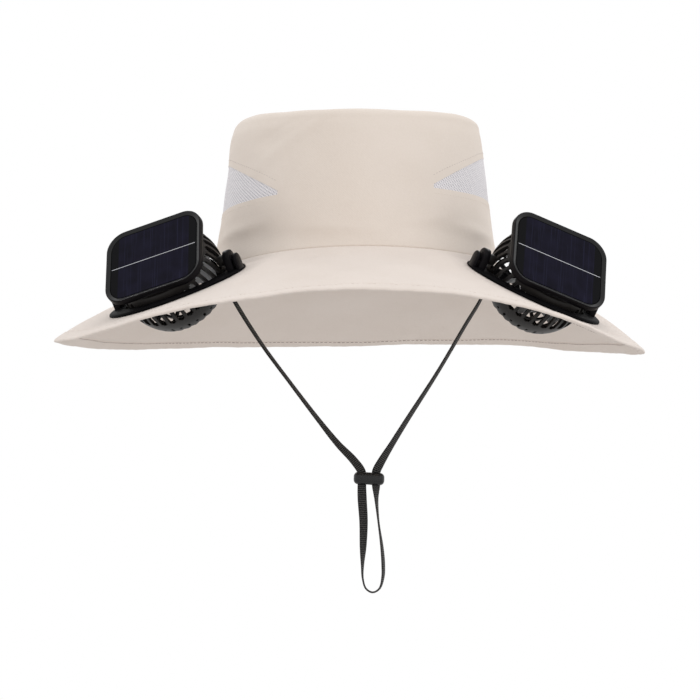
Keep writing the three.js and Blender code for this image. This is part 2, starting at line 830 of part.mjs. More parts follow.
const hat = new THREE.Group();
hat.add(piece('crown', crownGeometry(), 'cloth'));
hat.add(piece('brim', brimGeometry(), 'cloth'));
sides.forEach((side, i) => {
  const depth = crownWall + meshGap;
  hat.add(piece(`${side.name}_mesh_window`, windowPatch(side, windowLap, depth, depth + meshWall), 'mesh'));
  hat.add(fan(side, seats[i]));
});
hat.add(piece('chin_strap', strapGeometry(), 'tape'));
const toggle = piece('strap_toggle', toggleGeometry(), 'black');
toggle.position.set(...toggleCentre);
hat.add(toggle);

export default hat;
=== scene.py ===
import json
import math

import bmesh
import bpy
import numpy as np
from mathutils import Matrix, Vector, noise


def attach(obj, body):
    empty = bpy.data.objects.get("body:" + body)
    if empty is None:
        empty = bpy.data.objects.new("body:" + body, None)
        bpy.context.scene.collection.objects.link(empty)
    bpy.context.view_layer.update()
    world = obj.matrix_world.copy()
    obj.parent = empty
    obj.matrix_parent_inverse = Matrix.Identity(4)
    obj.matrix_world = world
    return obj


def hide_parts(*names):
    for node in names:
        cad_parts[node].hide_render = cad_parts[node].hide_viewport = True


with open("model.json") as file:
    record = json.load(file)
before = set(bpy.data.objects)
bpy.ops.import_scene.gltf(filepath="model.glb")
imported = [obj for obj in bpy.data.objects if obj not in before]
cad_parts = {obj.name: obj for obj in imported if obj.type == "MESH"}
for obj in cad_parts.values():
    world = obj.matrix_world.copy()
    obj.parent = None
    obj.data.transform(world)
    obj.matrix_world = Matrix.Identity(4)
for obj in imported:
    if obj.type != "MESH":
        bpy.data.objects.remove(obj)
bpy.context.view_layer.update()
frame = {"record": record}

MM = 0.001
TURN = 2 * math.pi

# Camera in metres and radians, its lens in millimetres
CAMERA_AT = (-0.0039, -1.6, -0.1865)
CAMERA_TILT = 0.0818
CAMERA_LENS = 126.57

# Lamps, aimed at the origin: place and width in metres, and power in watts
LAMPS = [
    ("key", (1.3, -1.3, 1.2), 1.2, 4),
    ("back_left", (-1.0, 1.6, 1.6), 0.4, 4),
    ("back_right", (1.0, 1.6, 1.6), 0.4, 4),
]

# Cloth sizes, the main ones the same as the solids'
HEAD_HALF_WIDTH = 92
HEAD_HALF_DEPTH = 98
CROWN_HEIGHT = 97
CROWN_SIDE_RISE = 5
CROWN_FRONT_SAG = 2.6
CROWN_WALL = 1.6
BRIM_REACH = 100
BRIM_DROP = 58
SEAM_DIP = 7
BRIM_WALL = 1.6
BRIM_LAP = 3
SEAM_ROLL = 3.5
ROLL_LENGTH = 9
HEM_WIDTH = 9
HEM_PUCKER = 0.1
FOLD_OUT = 3
BRIM_COLUMNS = 300

# Crown: height, side and front shares
CROWN_ROWS = [
    (0, 1, 1), (0.06, 0.998, 0.988), (0.205, 0.978, 0.965),
    (0.36, 0.955, 0.944), (0.61, 0.924, 0.91), (0.79, 0.901, 0.88),
    (0.865, 0.884, 0.862), (0.907, 0.873, 0.848), (0.934, 0.84, 0.81),
    (0.949, 0.775, 0.735), (0.966, 0.59, 0.56), (0.985, 0.3, 0.29),
]

# Dents: bearing and spread in degrees, height, rise and depth shares
CROWN_DENTS = [
    (226, 13, 0.14, 0.12, 0.042), (248, 20, 0.08, 0.07, 0.01),
    (315, 12, 0.13, 0.12, 0.036), (230, 6, 0.74, 0.06, 0.012),
    (205, 32, 0.94, 0.07, 0.035), (60, 16, 0.2, 0.16, 0.02),
    (130, 18, 0.14, 0.12, 0.02),
]

# Folds: bearing in degrees, height share, spread in degrees, slant, width share and depth
CROWN_FOLDS = [
    (238, 0.7, 16, 0.55, 0.03, 1.1), (232, 0.8, 12, 0.35, 0.022, -0.5),
    (212, 0.16, 18, 0.12, 0.045, 1.5), (328, 0.16, 16, -0.1, 0.045, 1.4),
    (300, 0.2, 14, 0.2, 0.04, 0.4), (262, 0.13, 22, -0.05, 0.035, 0.5),
]

# Brim at every 30 degrees from the right side by way of the back: reach, drop, dip, roll and bow shares
BRIM_ROWS = [
    (0.95, 1, 0.4, 1.3, 0.85), (0.956, 0.836, 0.2, 1, 0.7), (0.976, 0.641, 0.1, 0.8, 0.35),
    (1, 0.617, 0, 0.8, 0.2), (1.006, 0.678, 0.15, 0.8, 0.35), (1.026, 0.8, 0.6, 1, 0.75),
    (1.036, 0.87, 1, 1, 0.9), (1.021, 0.96, 0.75, 1.1, 0.15), (1.006, 0.765, 0.25, 1, 0),
    (1, 0.629, 0, 0.9, 0.1), (0.981, 0.735, 0.05, 1.3, 0), (0.956, 1.01, 0.2, 2.1, 0.1),
]

# Mesh windows
WINDOW_SILL = 38
WINDOW_HEIGHT = 27
WINDOW_END = 2.5
WINDOW_REACH = math.radians(56)
WINDOW_BOW = 1.7
WINDOW_RISE = {"left": -1.5, "right": 2}

# Stitches: how far in from the hem's start, how far above the cloth's middle, and their pitches
HEM_STITCH_INSET = 1.4
HEM_STITCH_LIFT = 1.1
HEM_STITCH_PITCH = 3.2
WINDOW_STITCH_PITCH = 2.6

# Fan sizes, the main ones the same as the solids'
GAP = 0.3
BASE_HALF_LENGTH = 46
BASE_HALF_WIDTH = 40
BASE_THICKNESS = 2
COLLAR_WALL = 2
CLAMP_WIDTH = 3
CLAMP_THICKNESS = 1.4
FLAT_MARGIN = 1.06
FLAT_FADE = 0.62
FREE_MARGIN = 1.04
FREE_FADE = 0.3
BALL_RADIUS = 33.5
BORE_RADIUS = 33.7
BALL_WALL = 2
CUT_HALF_DEPTH = 12
PIVOT_HEIGHT = 9.4
FAN_TILT = math.radians(41)
PIN_RADIUS = 2.2
EAR_START = 37.7
EAR_END = 42.3
EAR_HALF_WIDTH = 5.5
GUARD_GAP = 1
EAR_FOOT = 3
GUARD_THICKNESS = 2.6
GUARD_SHARE = 0.78
FRAME_LENGTH = 66.5
FRAME_DEPTH = 54.5
FRAME_THICKNESS = 5
FRAME_CORNER = 13
FRAME_RISE = 24.8
LIP_WIDTH = 3
RECESS_DEPTH = 2.4

# Plate's profile: share of the way from bore to edge, and heights above its flat top and its foot
PLATE_PROFILE = [
    (0, 0.15, 0), (0.08, 0.45, 0), (0.25, 0.45, 0),
    (0.33, 0, 0), (0.7, 0, 0), (0.86, -0.15, 0),
    (0.95, -0.6, 0), (0.985, -0.95, 0.05), (1, -1.4, 0.35),
]

# Frame's section: insets with heights above its back, then insets with depths below its top
FRAME_BACK = [(1.2, 0), (0.35, 0.3), (0, 1), (0, 2.6), (0.15, 2.75), (0.15, 2.95), (0, 3.1)]
FRAME_FRONT = [(0, 1.1), (0.1, 0.5), (0.3, 0.1), (0.5, 0), (0.65, 0.03), (0.8, 0.1)]
FRAME_FRONT += [(2.75, 0.97), (2.9, 1.1), (LIP_WIDTH, 1.3)]

# Busbar, motor and rotor
BUSBAR_WIDTH = 0.48
BUSBAR_RISE = 0.12
MOTOR_RADIUS = 9
MOTOR_LENGTH = 7.2
BOSS_RADIUS = 3.4
SHAFT_RADIUS = 1.5
HUB_RADIUS = 10
HUB_BOTTOM = -9
HUB_FLOOR = -6
BLADES = 7
BLADE_TIP = 28
BLADE_CHORD = 17.5
BLADE_CAMBER = 1.1
BLADE_HALF_THICKNESS = 0.62
BLADE_HALF_HEIGHT = 9 * math.sin(math.radians(52)) + 0.5
DECK_LATITUDE = math.radians(34.6)
DECK_TOP = BALL_RADIUS * math.sin(DECK_LATITUDE)
DECK_UNDER = DECK_TOP - 2

# Cage: latitudes of its rows in degrees from the mouth up, and marks that part one window's pitch into cells
CAGE_ROWS = [-30, -28.8, -27.6, -25.4, -24, -22.6, -19.4, -18, -16.5, -12, -7.5, -6]
CAGE_ROWS += [-4.6, -2, 3, 9, 15, 20, 22.6, 24, 25.6, 29, 32]
CAGE_MARKS = [-0.165, -0.08, 0.08, 0.165, 0.36, 0.64]
CAGE_WINDOWS = 34
OPEN_CELLS = (3, 4, 5)
MIDDLE_CELL = 4

# Grille: columns round it, columns from rib to rib, and the rows of its slots
GRILLE_COLUMNS = 120
GRILLE_PITCH = 12
GRILLE_SLOTS = (3, 5, 7)

# Chin strap: sizes, and its route as x, z and roll in degrees
TAPE_WIDTH = 6.2
TAPE_THICKNESS = 1.2
RIB_SPACING = 2.4
RIB_SHARE = 0.05
STRAP_ROUTE = [
    (-88.2, 9, 90), (-88.2, 0, 90), (-86.9, -9, 82), (-78.7, -24.5, 68),
    (-61.1, -52.1, 70), (-42.3, -77.5, 70), (-24.4, -101, 62), (-11.7, -116.7, 46),
    (-1.6, -127.2, 32), (3.5, -134.5, 25), (3.9, -139.1, 25), (3.8, -144, 24),
    (4, -152, 16), (4.9, -167.3, 28), (4.6, -182.8, 44), (4.2, -194, 74),
    (4.4, -204, 88), (6.5, -210.4, 90), (10.9, -212.7, 90), (15.2, -210.2, 94),
    (17.4, -203, 104), (17.6, -194, 108), (16.7, -182.8, 104), (14.6, -167.3, 94),
    (13.2, -152, 112), (13, -144, 148), (13, -139.1, 155), (13.2, -134.5, 155),
    (15.9, -129, 148), (23.4, -116.7, 128), (33.2, -101, 118), (53.3, -69.7, 108),
    (71.8, -38.3, 107), (81.3, -22.5, 104), (87.3, -8, 95), (88.2, 0, 90),
    (88.2, 9, 90),
]
TOGGLE_CENTRE = (8.45, 0, -139.1)
TOGGLE_LEAN = math.radians(3)
TOGGLE_LENGTH = 20
TOGGLE_DEPTH = 9
TOGGLE_HEIGHT = 8
TOGGLE_SOFT = 2.9
SLOT_SIZE = (7.8, 2.8, 16)
SLOT_CORNER = 1.1
SLOT_SHIFT = 4.55
SLOT_TURN = math.radians(25)


def new_object(name, data, place=None):
    thing = bpy.data.objects.new(name, data)
    bpy.context.scene.collection.objects.link(thing)
    if place is not None:
        thing.matrix_world = place
        bpy.context.view_layer.update()
    return thing


def make_camera():
    data = bpy.data.cameras.new("camera")
    data.sensor_width = 36
    data.lens = CAMERA_LENS
    data.clip_end = 100
    thing = new_object("camera", data)
    thing.location = CAMERA_AT
    thing.rotation_euler = (math.pi / 2 + CAMERA_TILT, 0, 0)
    bpy.context.scene.camera = thing


# Materials, with pitches and half widths in metres

WEAVE_PITCH = 0.0011
TAPE_RIB_PITCH = 0.0012
CELL_ACTIVE_HALF = 0.0248


def put(tree, kind, inputs=None, **settings):
    """A new node with its settings and inputs; an input that is a socket is linked."""
    made = tree.nodes.new(kind)
    for name, value in settings.items():
        setattr(made, name, value)
    for name, value in (inputs or {}).items():
        socket = made.inputs[name]
        if isinstance(value, bpy.types.NodeSocket):
            tree.links.new(value, socket)
        else:
            socket.default_value = value
    return made


def maths(tree, operation, a, b=0.0):
    return put(tree, "ShaderNodeMath", {0: a, 1: b}, operation=operation).outputs[0]


def ramp(tree, factor, stops):
    made = put(tree, "ShaderNodeValToRGB", {"Fac": factor})
    elements = made.color_ramp.elements
    while len(elements) > 1:
        elements.remove(elements[-1])
    for i, (place, colour) in enumerate(stops):
        element = elements[0] if i == 0 else elements.new(place)
        element.position = place
        element.color = (*colour, 1)
    return made.outputs["Color"]


def weighed(tree, a, share, b, other_share):
    """Sum of two values, each times its own share."""
    return maths(tree, "ADD", maths(tree, "MULTIPLY", a, share), maths(tree, "MULTIPLY", b, other_share))


def waves(tree, value, pitch):
    """A sine wave with one crest in every pitch."""
    return maths(tree, "SINE", maths(tree, "MULTIPLY", value, TURN / pitch))


def colour_mix(tree, factor, a, b):
    inputs = {"Factor": factor, "A": a, "B": b}
    return put(tree, "ShaderNodeMix", inputs, data_type="RGBA").outputs["Result"]


def grains(tree, where, scale, detail=3.0):
    inputs = {"Vector": where, "Scale": scale, "Detail": detail, "Roughness": 0.55}
    return put(tree, "ShaderNodeTexNoise", inputs).outputs["Fac"]


def new_material(name, **sockets):
    """A new material, its node tree and its shader with these sockets set."""
    made = bpy.data.materials.new(name)
    made.use_nodes = True
    shader = made.node_tree.nodes["Principled BSDF"]
    for key, value in sockets.items():
        shader.inputs[key.replace("_", " ")].default_value = value
    return made, made.node_tree, shader


def stretched(tree, where, scale, turn=0):
    """A place scaled along its axes, so that a pattern is drawn out."""
    inputs = {"Vector": where, "Rotation": (0, 0, turn), "Scale": scale}
    return put(tree, "ShaderNodeMapping", inputs).outputs["Vector"]


def coloured(tree, shader, factor, stops):
    tree.links.new(ramp(tree, factor, stops), shader.inputs["Base Color"])


def roughened(tree, shader, factor, low, high):
    """Roughness that runs from low to high with a factor."""
    gloss = put(tree, "ShaderNodeMapRange", {"Value": factor, "To Min": low, "To Max": high})
    tree.links.new(gloss.outputs["Result"], shader.inputs["Roughness"])


def bumped(tree, shader, height, distance, strength):
    bump = put(tree, "ShaderNodeBump", {"Height": height, "Strength": strength, "Distance": distance})
    tree.links.new(bump.outputs["Normal"], shader.inputs["Normal"])


def object_place(tree):
    return put(tree, "ShaderNodeTexCoord").outputs["Object"]


def cloth_place(tree):
    return put(tree, "ShaderNodeAttribute", attribute_name="cloth_at").outputs["Vector"]


def parted(tree, where):
    """The x, y and z of a place."""
    return put(tree, "ShaderNodeSeparateXYZ", {"Vector": where}).outputs


def cloth_material(name, light, dark):
    sheen = {"Sheen_Weight": 0.18, "Sheen_Roughness": 0.5}
    made, tree, shader = new_material(name, Roughness=0.92, Specular_IOR_Level=0.18, **sheen)
    where = object_place(tree)
    clouds = grains(tree, where, 14)
    fibres = grains(tree, where, 900, 2)
    mixed = weighed(tree, clouds, 0.7, fibres, 0.3)
    coloured(tree, shader, mixed, [(0.3, dark), (0.66, light)])
    # Plain weave: two crossing sets of threads that go over and under each other
    flat = parted(tree, cloth_place(tree))
    weave = maths(tree, "MULTIPLY", *(waves(tree, flat[axis], WEAVE_PITCH) for axis in "XY"))
    height = maths(tree, "ADD", maths(tree, "MULTIPLY", weave, 0.35), grains(tree, where, 260))
    bumped(tree, shader, height, 0.00016, 0.8)
    return made


def mesh_material():
    made, tree, shader = new_material("open_mesh", Roughness=0.8, Sheen_Weight=0.12, Specular_IOR_Level=0.2)
    scaled = stretched(tree, cloth_place(tree), (640, 560, 1), 0.5)
    inputs = {"Vector": scaled, "Scale": 1.0, "Randomness": 0.12}
    cells = put(tree, "ShaderNodeTexVoronoi", inputs, voronoi_dimensions="2D")
    inputs = {"Value": cells.outputs["Distance"], "From Min": 0.22, "From Max": 0.4}
    holes = put(tree, "ShaderNodeMapRange", inputs).outputs["Result"]
    # The holes are painted dark grey as painted shade of the hat's inside seen through them; the same mask
    # sinks them in the bump
    coloured(tree, shader, holes, [(0.0, (0.5, 0.49, 0.52)), (1.0, (0.84, 0.81, 0.83))])
    bumped(tree, shader, holes, 0.0003, 0.7)
    return made


def plastic_material(name, colour, rough, specular):
    made, tree, shader = new_material(name, Specular_IOR_Level=specular)
    where = object_place(tree)
    smudges = grains(tree, where, 60)
    dark, light = (tuple(c * share for c in colour) for share in (0.8, 1.25))
    coloured(tree, shader, smudges, [(0.3, dark), (0.7, light)])
    roughened(tree, shader, smudges, rough - 0.06, rough + 0.08)
    bumped(tree, shader, grains(tree, where, 420, 2), 0.00005, 0.5)
    return made


def cell_material():
    """Dark cell with black ends, fine fingers across it and a faint blue play of colour."""
    coat = {"Coat_Weight": 0.04, "Coat_Roughness": 0.08}
    made, tree, shader = new_material("solar_glass", Roughness=0.25, Specular_IOR_Level=0.03, **coat)
    where = object_place(tree)
    along = maths(tree, "ABSOLUTE", parted(tree, where)["X"])
    active = maths(tree, "LESS_THAN", along, CELL_ACTIVE_HALF)
    fingers = grains(tree, stretched(tree, where, (1100, 12, 0)), 1, 2)
    lines = maths(tree, "GREATER_THAN", fingers, 0.6)
    play = grains(tree, where, 90, 2)
    body = ramp(tree, play, [(0.3, (0.0045, 0.004, 0.0095)), (0.7, (0.008, 0.0072, 0.018))])
    lined = colour_mix(tree, lines, body, (0.012, 0.012, 0.028, 1))
    ended = colour_mix(tree, active, (0.004, 0.004, 0.005, 1), lined)
    tree.links.new(ended, shader.inputs["Base Color"])
    bumped(tree, shader, maths(tree, "MULTIPLY", lines, active), 0.00003, 0.4)
    return made


def tape_material():
    sockets = {"Roughness": 0.88, "Sheen_Weight": 0.12, "Specular_IOR_Level": 0.2}
    made, tree, shader = new_material("ribbed_tape", **sockets)
    where = cloth_place(tree)
    # Ribs across the tape: they rise in the bump, and their crests are painted much lighter as a painted
    # highlight
    ribs = waves(tree, parted(tree, where)["X"], TAPE_RIB_PITCH)
    lift = maths(tree, "ADD", maths(tree, "MULTIPLY", ribs, 0.25), 0.5)
    mixed = weighed(tree, lift, 0.6, grains(tree, where, 1400, 2), 0.4)
    dark, middle, light = (0.005, 0.0045, 0.0045), (0.012, 0.0115, 0.0115), (0.09, 0.088, 0.086)
    coloured(tree, shader, mixed, [(0.3, dark), (0.5, middle), (0.64, light)])
    bumped(tree, shader, mixed, 0.00025, 0.8)
    return made


def metal_material(name, colour, rough):
    made, tree, shader = new_material(name, Metallic=1.0)
    lines = grains(tree, stretched(tree, object_place(tree), (40, 900, 900)), 1, 2)
    coloured(tree, shader, lines, [(0.3, tuple(c * 0.85 for c in colour)), (0.7, colour)])
    roughened(tree, shader, lines, rough - 0.08, rough + 0.1)
    bumped(tree, shader, lines, 0.00003, 0.4)
    return made


def floor_material():
    made, tree, shader = new_material("pale_floor", Roughness=0.9, Specular_IOR_Level=0.1)
    clouds = grains(tree, object_place(tree), 3, 2)
    coloured(tree, shader, clouds, [(0.3, (0.66, 0.65, 0.64)), (0.7, (0.69, 0.68, 0.67))])
    return made


# Mesh building


class Build:
    """Points in millimetres, faces, and for each face corner its place on the flat cloth in metres."""

    def __init__(self):
        self.points = []
        self.faces = []
        self.places = []

    def add(self, points):
        start = len(self.points)
        self.points.extend(tuple(float(c) for c in point) for point in points)
        return start

    def face(self, corners, places=None):
        self.faces.append(tuple(corners))
        self.places.extend(places or [(0.0, 0.0)] * len(corners))

    def made(self, name, material, slot, body="hat", place=None, sharp=math.radians(40)):
        mesh = bpy.data.meshes.new(name)
        mesh.from_pydata([tuple(c * MM for c in point) for point in self.points], [], self.faces)
        layer = mesh.attributes.new("cloth_at", "FLOAT_VECTOR", "CORNER")
        flat = np.pad(np.array(self.places, dtype=np.float32), ((0, 0), (0, 1)))
        layer.data.foreach_set("vector", flat.ravel())
        mesh.validate()
        mesh.shade_smooth()
        mesh.set_sharp_from_angle(angle=sharp)
        mesh.materials.append(material)
        if body != "hat":
            place = PLACES[body.split("_")[0]]["head"]
        thing = new_object(name, mesh, place)
        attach(thing, body)
        return thing


def wall(build, outer, inner, places=None, closed=True, is_open=None):
    """A wall between two grids of points, open at its ends and at the cells that is_open names."""
    columns, rows = outer.shape[:2]
    first = build.add(outer.reshape(-1, 3))
    second = build.add(inner.reshape(-1, 3))
    across = columns if closed else columns - 1

    def solid(i, j):
        inside = 0 <= j < rows - 1 and (closed or 0 <= i < across)
        return inside and not (is_open and is_open(i % across, j))

    for i in range(across):
        for j in range(rows - 1):
            if not solid(i, j):
                continue
            spots = [(i, j), (i + 1, j), (i + 1, j + 1), (i, j + 1)]
            ids = [(a % columns) * rows + b for a, b in spots]
            flat = [(0.0, 0.0) if places is None else tuple(places[a][b]) for a, b in spots]
            build.face([first + k for k in ids], flat)
            build.face([second + k for k in reversed(ids)], list(reversed(flat)))
            for side, cell in enumerate([(i, j - 1), (i + 1, j), (i, j + 1), (i - 1, j)]):
                if solid(*cell):
                    continue
                p, q = ids[side], ids[(side + 1) % 4]
                fp, fq = flat[side], flat[(side + 1) % 4]
                build.face([first + q, first + p, second + p, second + q], [fq, fp, fp, fq])


def skin(build, rings, looped=False, place=None):
    """A closed skin over rings of points: capped at both ends, or joined from the last ring to the first."""
    starts = [build.add(ring) for ring in rings]
    count = len(rings[0])
    for k, (a, b) in enumerate(zip(starts, starts[1:] + starts[:looped])):
        for i in range(count):
            j = (i + 1) % count
            spots = ((k, i), (k, j), (k + 1, j), (k + 1, i))
            build.face([a + i, a + j, b + j, b + i], place and [place(*spot) for spot in spots])
    if not looped:
        build.face([starts[0] + i for i in reversed(range(count))])
        build.face([starts[-1] + i for i in range(count)])


def lathe(build, section, segments, axis="Z", height=0, looped=False):
    """A body turned round an axis at a height, from radius and height pairs in rising order."""
    rings = []
    for radius, along in section:
        ring = []
        for i in range(segments):
            angle = TURN * i / segments
            x, y, z = radius * math.cos(angle), radius * math.sin(angle), along
            ring.append((z, x, y + height) if axis == "X" else (x, y, z))
        rings.append(ring)
    skin(build, rings, looped)


def rounded(one, other, radius, soft, steps=3):
    """Section of a rod with rounded edges between two ends."""
    low, high = sorted((one, other))
    turns = [math.pi / 2 * i / steps for i in range(steps + 1)]
    lower = [(radius - soft + soft * math.sin(t), low + soft - soft * math.cos(t)) for t in turns]
    upper = [(radius - soft + soft * math.cos(t), high - soft + soft * math.sin(t)) for t in turns]
    return lower + upper


# Smooth curves through table rows


def blended(table, place, first):
    """Smooth curve through a table's rows at a place between row first and the next."""
    part = (place - first)[..., None]
    a, b, c, d = (table[(first + step) % len(table)] for step in (-1, 0, 1, 2))
    return b + 0.5 * part * ((c - a) + part * ((2 * a - 5 * b + 4 * c - d) + part * (3 * b - 3 * c + d - a)))


def closed_rows(rows, turn):
    place = np.mod(turn, 1) * len(rows)
    return blended(np.array(rows, dtype=float), place, np.floor(place).astype(int))


def open_rows(rows, share):
    table = np.array(rows, dtype=float)
    table = np.vstack([2 * table[0] - table[1], table, 2 * table[-1] - table[-2]])
    place = 1 + np.clip(share, 0, 1) * (len(table) - 3)
    return blended(table, place, np.minimum(np.floor(place).astype(int), len(table) - 3))


def smoothstep(value, low, high):
    share = np.clip((value - low) / (high - low), 0, 1)
    return share * share * (3 - 2 * share)


def unit(vectors):
    return vectors / np.linalg.norm(vectors, axis=-1, keepdims=True)


def ripple(points, size, depth, seed):
    """Soft random unevenness at each point, in millimetres."""
    flat = points.reshape(-1, 3)
    shift = Vector((seed * 7.3, seed * 3.1, seed * 5.7))
    values = [noise.noise(Vector(point) / size + shift) for point in flat]
    return depth * np.array(values).reshape(points.shape[:-1])


# Fans' places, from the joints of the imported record


def fan_places():
    joints = {joint["name"]: joint for joint in frame["record"]["behaviour"]["joints"]}
    found = {}
    for side in ("left", "right"):
        tilt, spin = joints[f"{side}_fan_tilt"], joints[f"{side}_rotor_spin"]
        pivot = Vector(tilt["pos_m"])
        x, z = Vector(tilt["axis"]).normalized(), Vector(spin["axis"]).normalized()
        y = z.cross(x)
        up = z * math.cos(FAN_TILT) + y * math.sin(FAN_TILT)
        back = y * math.cos(FAN_TILT) - z * math.sin(FAN_TILT)
        foot = pivot - up * PIVOT_HEIGHT * MM
        found[side] = {"along": np.array(x), "back": np.array(back), "up": np.array(up)}
        found[side]["middle"] = np.array(foot / MM - up * BRIM_WALL / 2)
        for name, axes, origin in (("head", (x, y, z), pivot), ("base", (x, back, up), foot)):
            matrix = Matrix(axes).transposed().to_4x4()
            matrix.translation = origin
            found[side][name] = matrix
    return found


PLACES = fan_places()


def brim_form(angle):
    rows = closed_rows(BRIM_ROWS, angle / TURN)
    scale = np.array([BRIM_REACH, BRIM_DROP, SEAM_DIP, SEAM_ROLL, 1])
    return np.moveaxis(rows * scale, -1, 0)


def base_oval(points, seat):
    """Offset from the middle of a fan's plate, and the distance from it as a share of the plate's oval."""
    offset = points - seat["middle"]
    along, back = offset @ seat["along"], offset @ seat["back"]
    return offset, np.hypot(along / BASE_HALF_LENGTH, back / BASE_HALF_WIDTH)


def brim_surface(angle, out):
    """Middle surface of the brim at angles round the hat and distances out from the seam."""
    reach, drop, dip, roll, bow = brim_form(angle)
    beyond = np.maximum(out, 0)
    share = beyond / reach
    fall = (1 - bow) * share + bow * share * share
    rolled = roll * (1 - np.exp(-beyond / ROLL_LENGTH))
    x, y = (HEAD_HALF_WIDTH + out) * np.cos(angle), (HEAD_HALF_DEPTH + out) * np.sin(angle)
    points = np.stack([x, y, -dip - rolled - (drop - dip - roll) * fall], axis=-1)
    near_seam = smoothstep(out, 0, FOLD_OUT)
    for seat in PLACES.values():
        offset, oval = base_oval(points, seat)
        weight = 1 - smoothstep(oval, FLAT_MARGIN, FLAT_MARGIN + FLAT_FADE)
        up = seat["up"]
        plane = seat["middle"][2] - (offset[..., 0] * up[0] + offset[..., 1] * up[1]) / up[2]
        points[..., 2] += (plane - points[..., 2]) * weight * near_seam
    return points


def away_from_fans(points):
    """1 where the cloth is free of the fan bases and 0 under them."""
    free = np.ones(points.shape[:-1])
    for seat in PLACES.values():
        free *= smoothstep(base_oval(points, seat)[1], FREE_MARGIN, FREE_MARGIN + FREE_FADE)
    return free


def grid_normals(points):
    """Unit normals of a closed grid, along the cross product of its columns' and rows' directions."""
    along = np.roll(points, -1, axis=0) - np.roll(points, 1, axis=0)
    return unit(np.cross(along, np.gradient(points, axis=1)))


def brim_grid():
    """Brim stations from the seam lap to the edge, with the wall at each."""
    angles = TURN * np.arange(BRIM_COLUMNS)[:, None] / BRIM_COLUMNS
    near = np.array([-BRIM_LAP, -1.5, 0, 1, 2, 3, 4.5, 6.5, 9, 12])
    shares = np.linspace(0, 1, 30)[1:]
    hem = np.array([0.35, 0.7, 1.1, 1.6, 2.6, 4, 5.5, 7, 7.8, 8.3, 8.7, 9])
    hem_wall = np.array([1.2, 1.45, 2.1, 2.25, 2.3, 2.3, 2.25, 2.2, 2.0, 1.7, 1.2, 0.5])
    start = brim_form(angles)[0] - HEM_WIDTH
    out = np.concatenate([near + 0 * start, near[-1] + (start - near[-1]) * shares, start + hem], axis=1)
    walls = np.concatenate([np.full(len(near) + len(shares), BRIM_WALL), hem_wall])
    return np.repeat(angles, out.shape[1], axis=1), out, walls


def brim_folds(points):
    """Broad and fine unevenness of the brim's cloth."""
    return ripple(points, 34, 0.9, 1) + ripple(points, 13, 0.28, 2)


def hem_pucker(angle):
    """Small waves that the sewing draws into the hem."""
    return HEM_PUCKER * np.sin(angle * 190 + 2.5 * np.sin(angle * 9))


def make_brim(material):
    angle, out, walls = brim_grid()
    points = brim_surface(angle, out)
    normals = grid_normals(points)
    free = away_from_fans(points) * smoothstep(out, 2, 12)
    reach = brim_form(angle)[0]
    at_hem = smoothstep(out, reach - HEM_WIDTH - 5, reach - HEM_WIDTH)
    points = points + normals * ((brim_folds(points) + hem_pucker(angle) * at_hem) * free)[..., None]
    half = normals * (walls / 2)[..., None]
    build = Build()
    plan = points[..., :2] * MM
    plan = np.concatenate([plan, plan[:1]])
    wall(build, points + half, points - half, plan)
    brim = build.made("brim_cloth", material, "cloth")
    for seat in PLACES.values():
        cut_away(brim, round_cutter(BORE_RADIUS + COLLAR_WALL + GAP, seat["base"]))
    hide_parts("brim")


def placed(name, shape, place=None):
    """A new object in the scene from a bmesh, which is freed."""
    mesh = bpy.data.meshes.new(name)
    shape.to_mesh(mesh)
    shape.free()
    return new_object(name, mesh, place)


def round_cutter(radius, place):
    shape = bmesh.new()
    size = {"radius1": radius * MM, "radius2": radius * MM, "depth": 2 * CUT_HALF_DEPTH * MM}
    bmesh.ops.create_cone(shape, cap_ends=True, segments=96, **size)
    return placed("cutter", shape, place)


def cut_away(piece, cutter):
    """Takes a cutter's shape out of a piece's mesh and removes the cutter."""
    cut = piece.modifiers.new("cut", "BOOLEAN")
    cut.operation = "DIFFERENCE"
    cut.solver = "EXACT"
    cut.object = cutter
    graph = bpy.context.evaluated_depsgraph_get()
    graph.update()
    result = bpy.data.meshes.new_from_object(piece.evaluated_get(graph), depsgraph=graph)
    piece.modifiers.clear()
    piece.data = result
    bpy.data.objects.remove(cutter)


# Crown

CROWN_COLUMNS = 288
COLUMN_TURN = TURN / CROWN_COLUMNS
WINDOW_COLUMNS = round(WINDOW_REACH / COLUMN_TURN)
WINDOW_MIDDLES = {"right": 0, "left": CROWN_COLUMNS // 2}
SHARES = np.linspace(0, 1, 400)
HEIGHTS = open_rows(CROWN_ROWS, SHARES)[:, 0] * CROWN_HEIGHT


def turn_from(angle, bearing):
    return np.mod(angle - math.radians(bearing) + math.pi, TURN) - math.pi


def bump_at(angle, bearing, spread, off_line):
    """A soft bump round a bearing and a line; off_line is the distance from it as a share of its width."""
    return np.exp(-((turn_from(angle, bearing) / math.radians(spread)) ** 2) - off_line**2)


def dent_at(angle, height):
    total = np.zeros(np.broadcast(angle, height).shape)
    for bearing, spread, middle, rise, depth in CROWN_DENTS:
        total += depth * bump_at(angle, bearing, spread, (height - middle) / rise)
    return total


def crown_surface(angle, share):
    rows = open_rows(CROWN_ROWS, share)
    height = rows[..., 0]
    size = 1 - dent_at(angle, height)
    foot = BRIM_WALL / 2 - brim_form(angle)[2]
    saddle = CROWN_SIDE_RISE * np.cos(angle) ** 2 - CROWN_FRONT_SAG * np.sin(angle) ** 2
    x = HEAD_HALF_WIDTH * rows[..., 1] * size * np.cos(angle)
    y = HEAD_HALF_DEPTH * rows[..., 2] * size * np.sin(angle)
    z = CROWN_HEIGHT * height + foot * (1 - height) + saddle * rows[..., 1] ** 2 * height**4
    return np.stack([x, y, z], axis=-1)


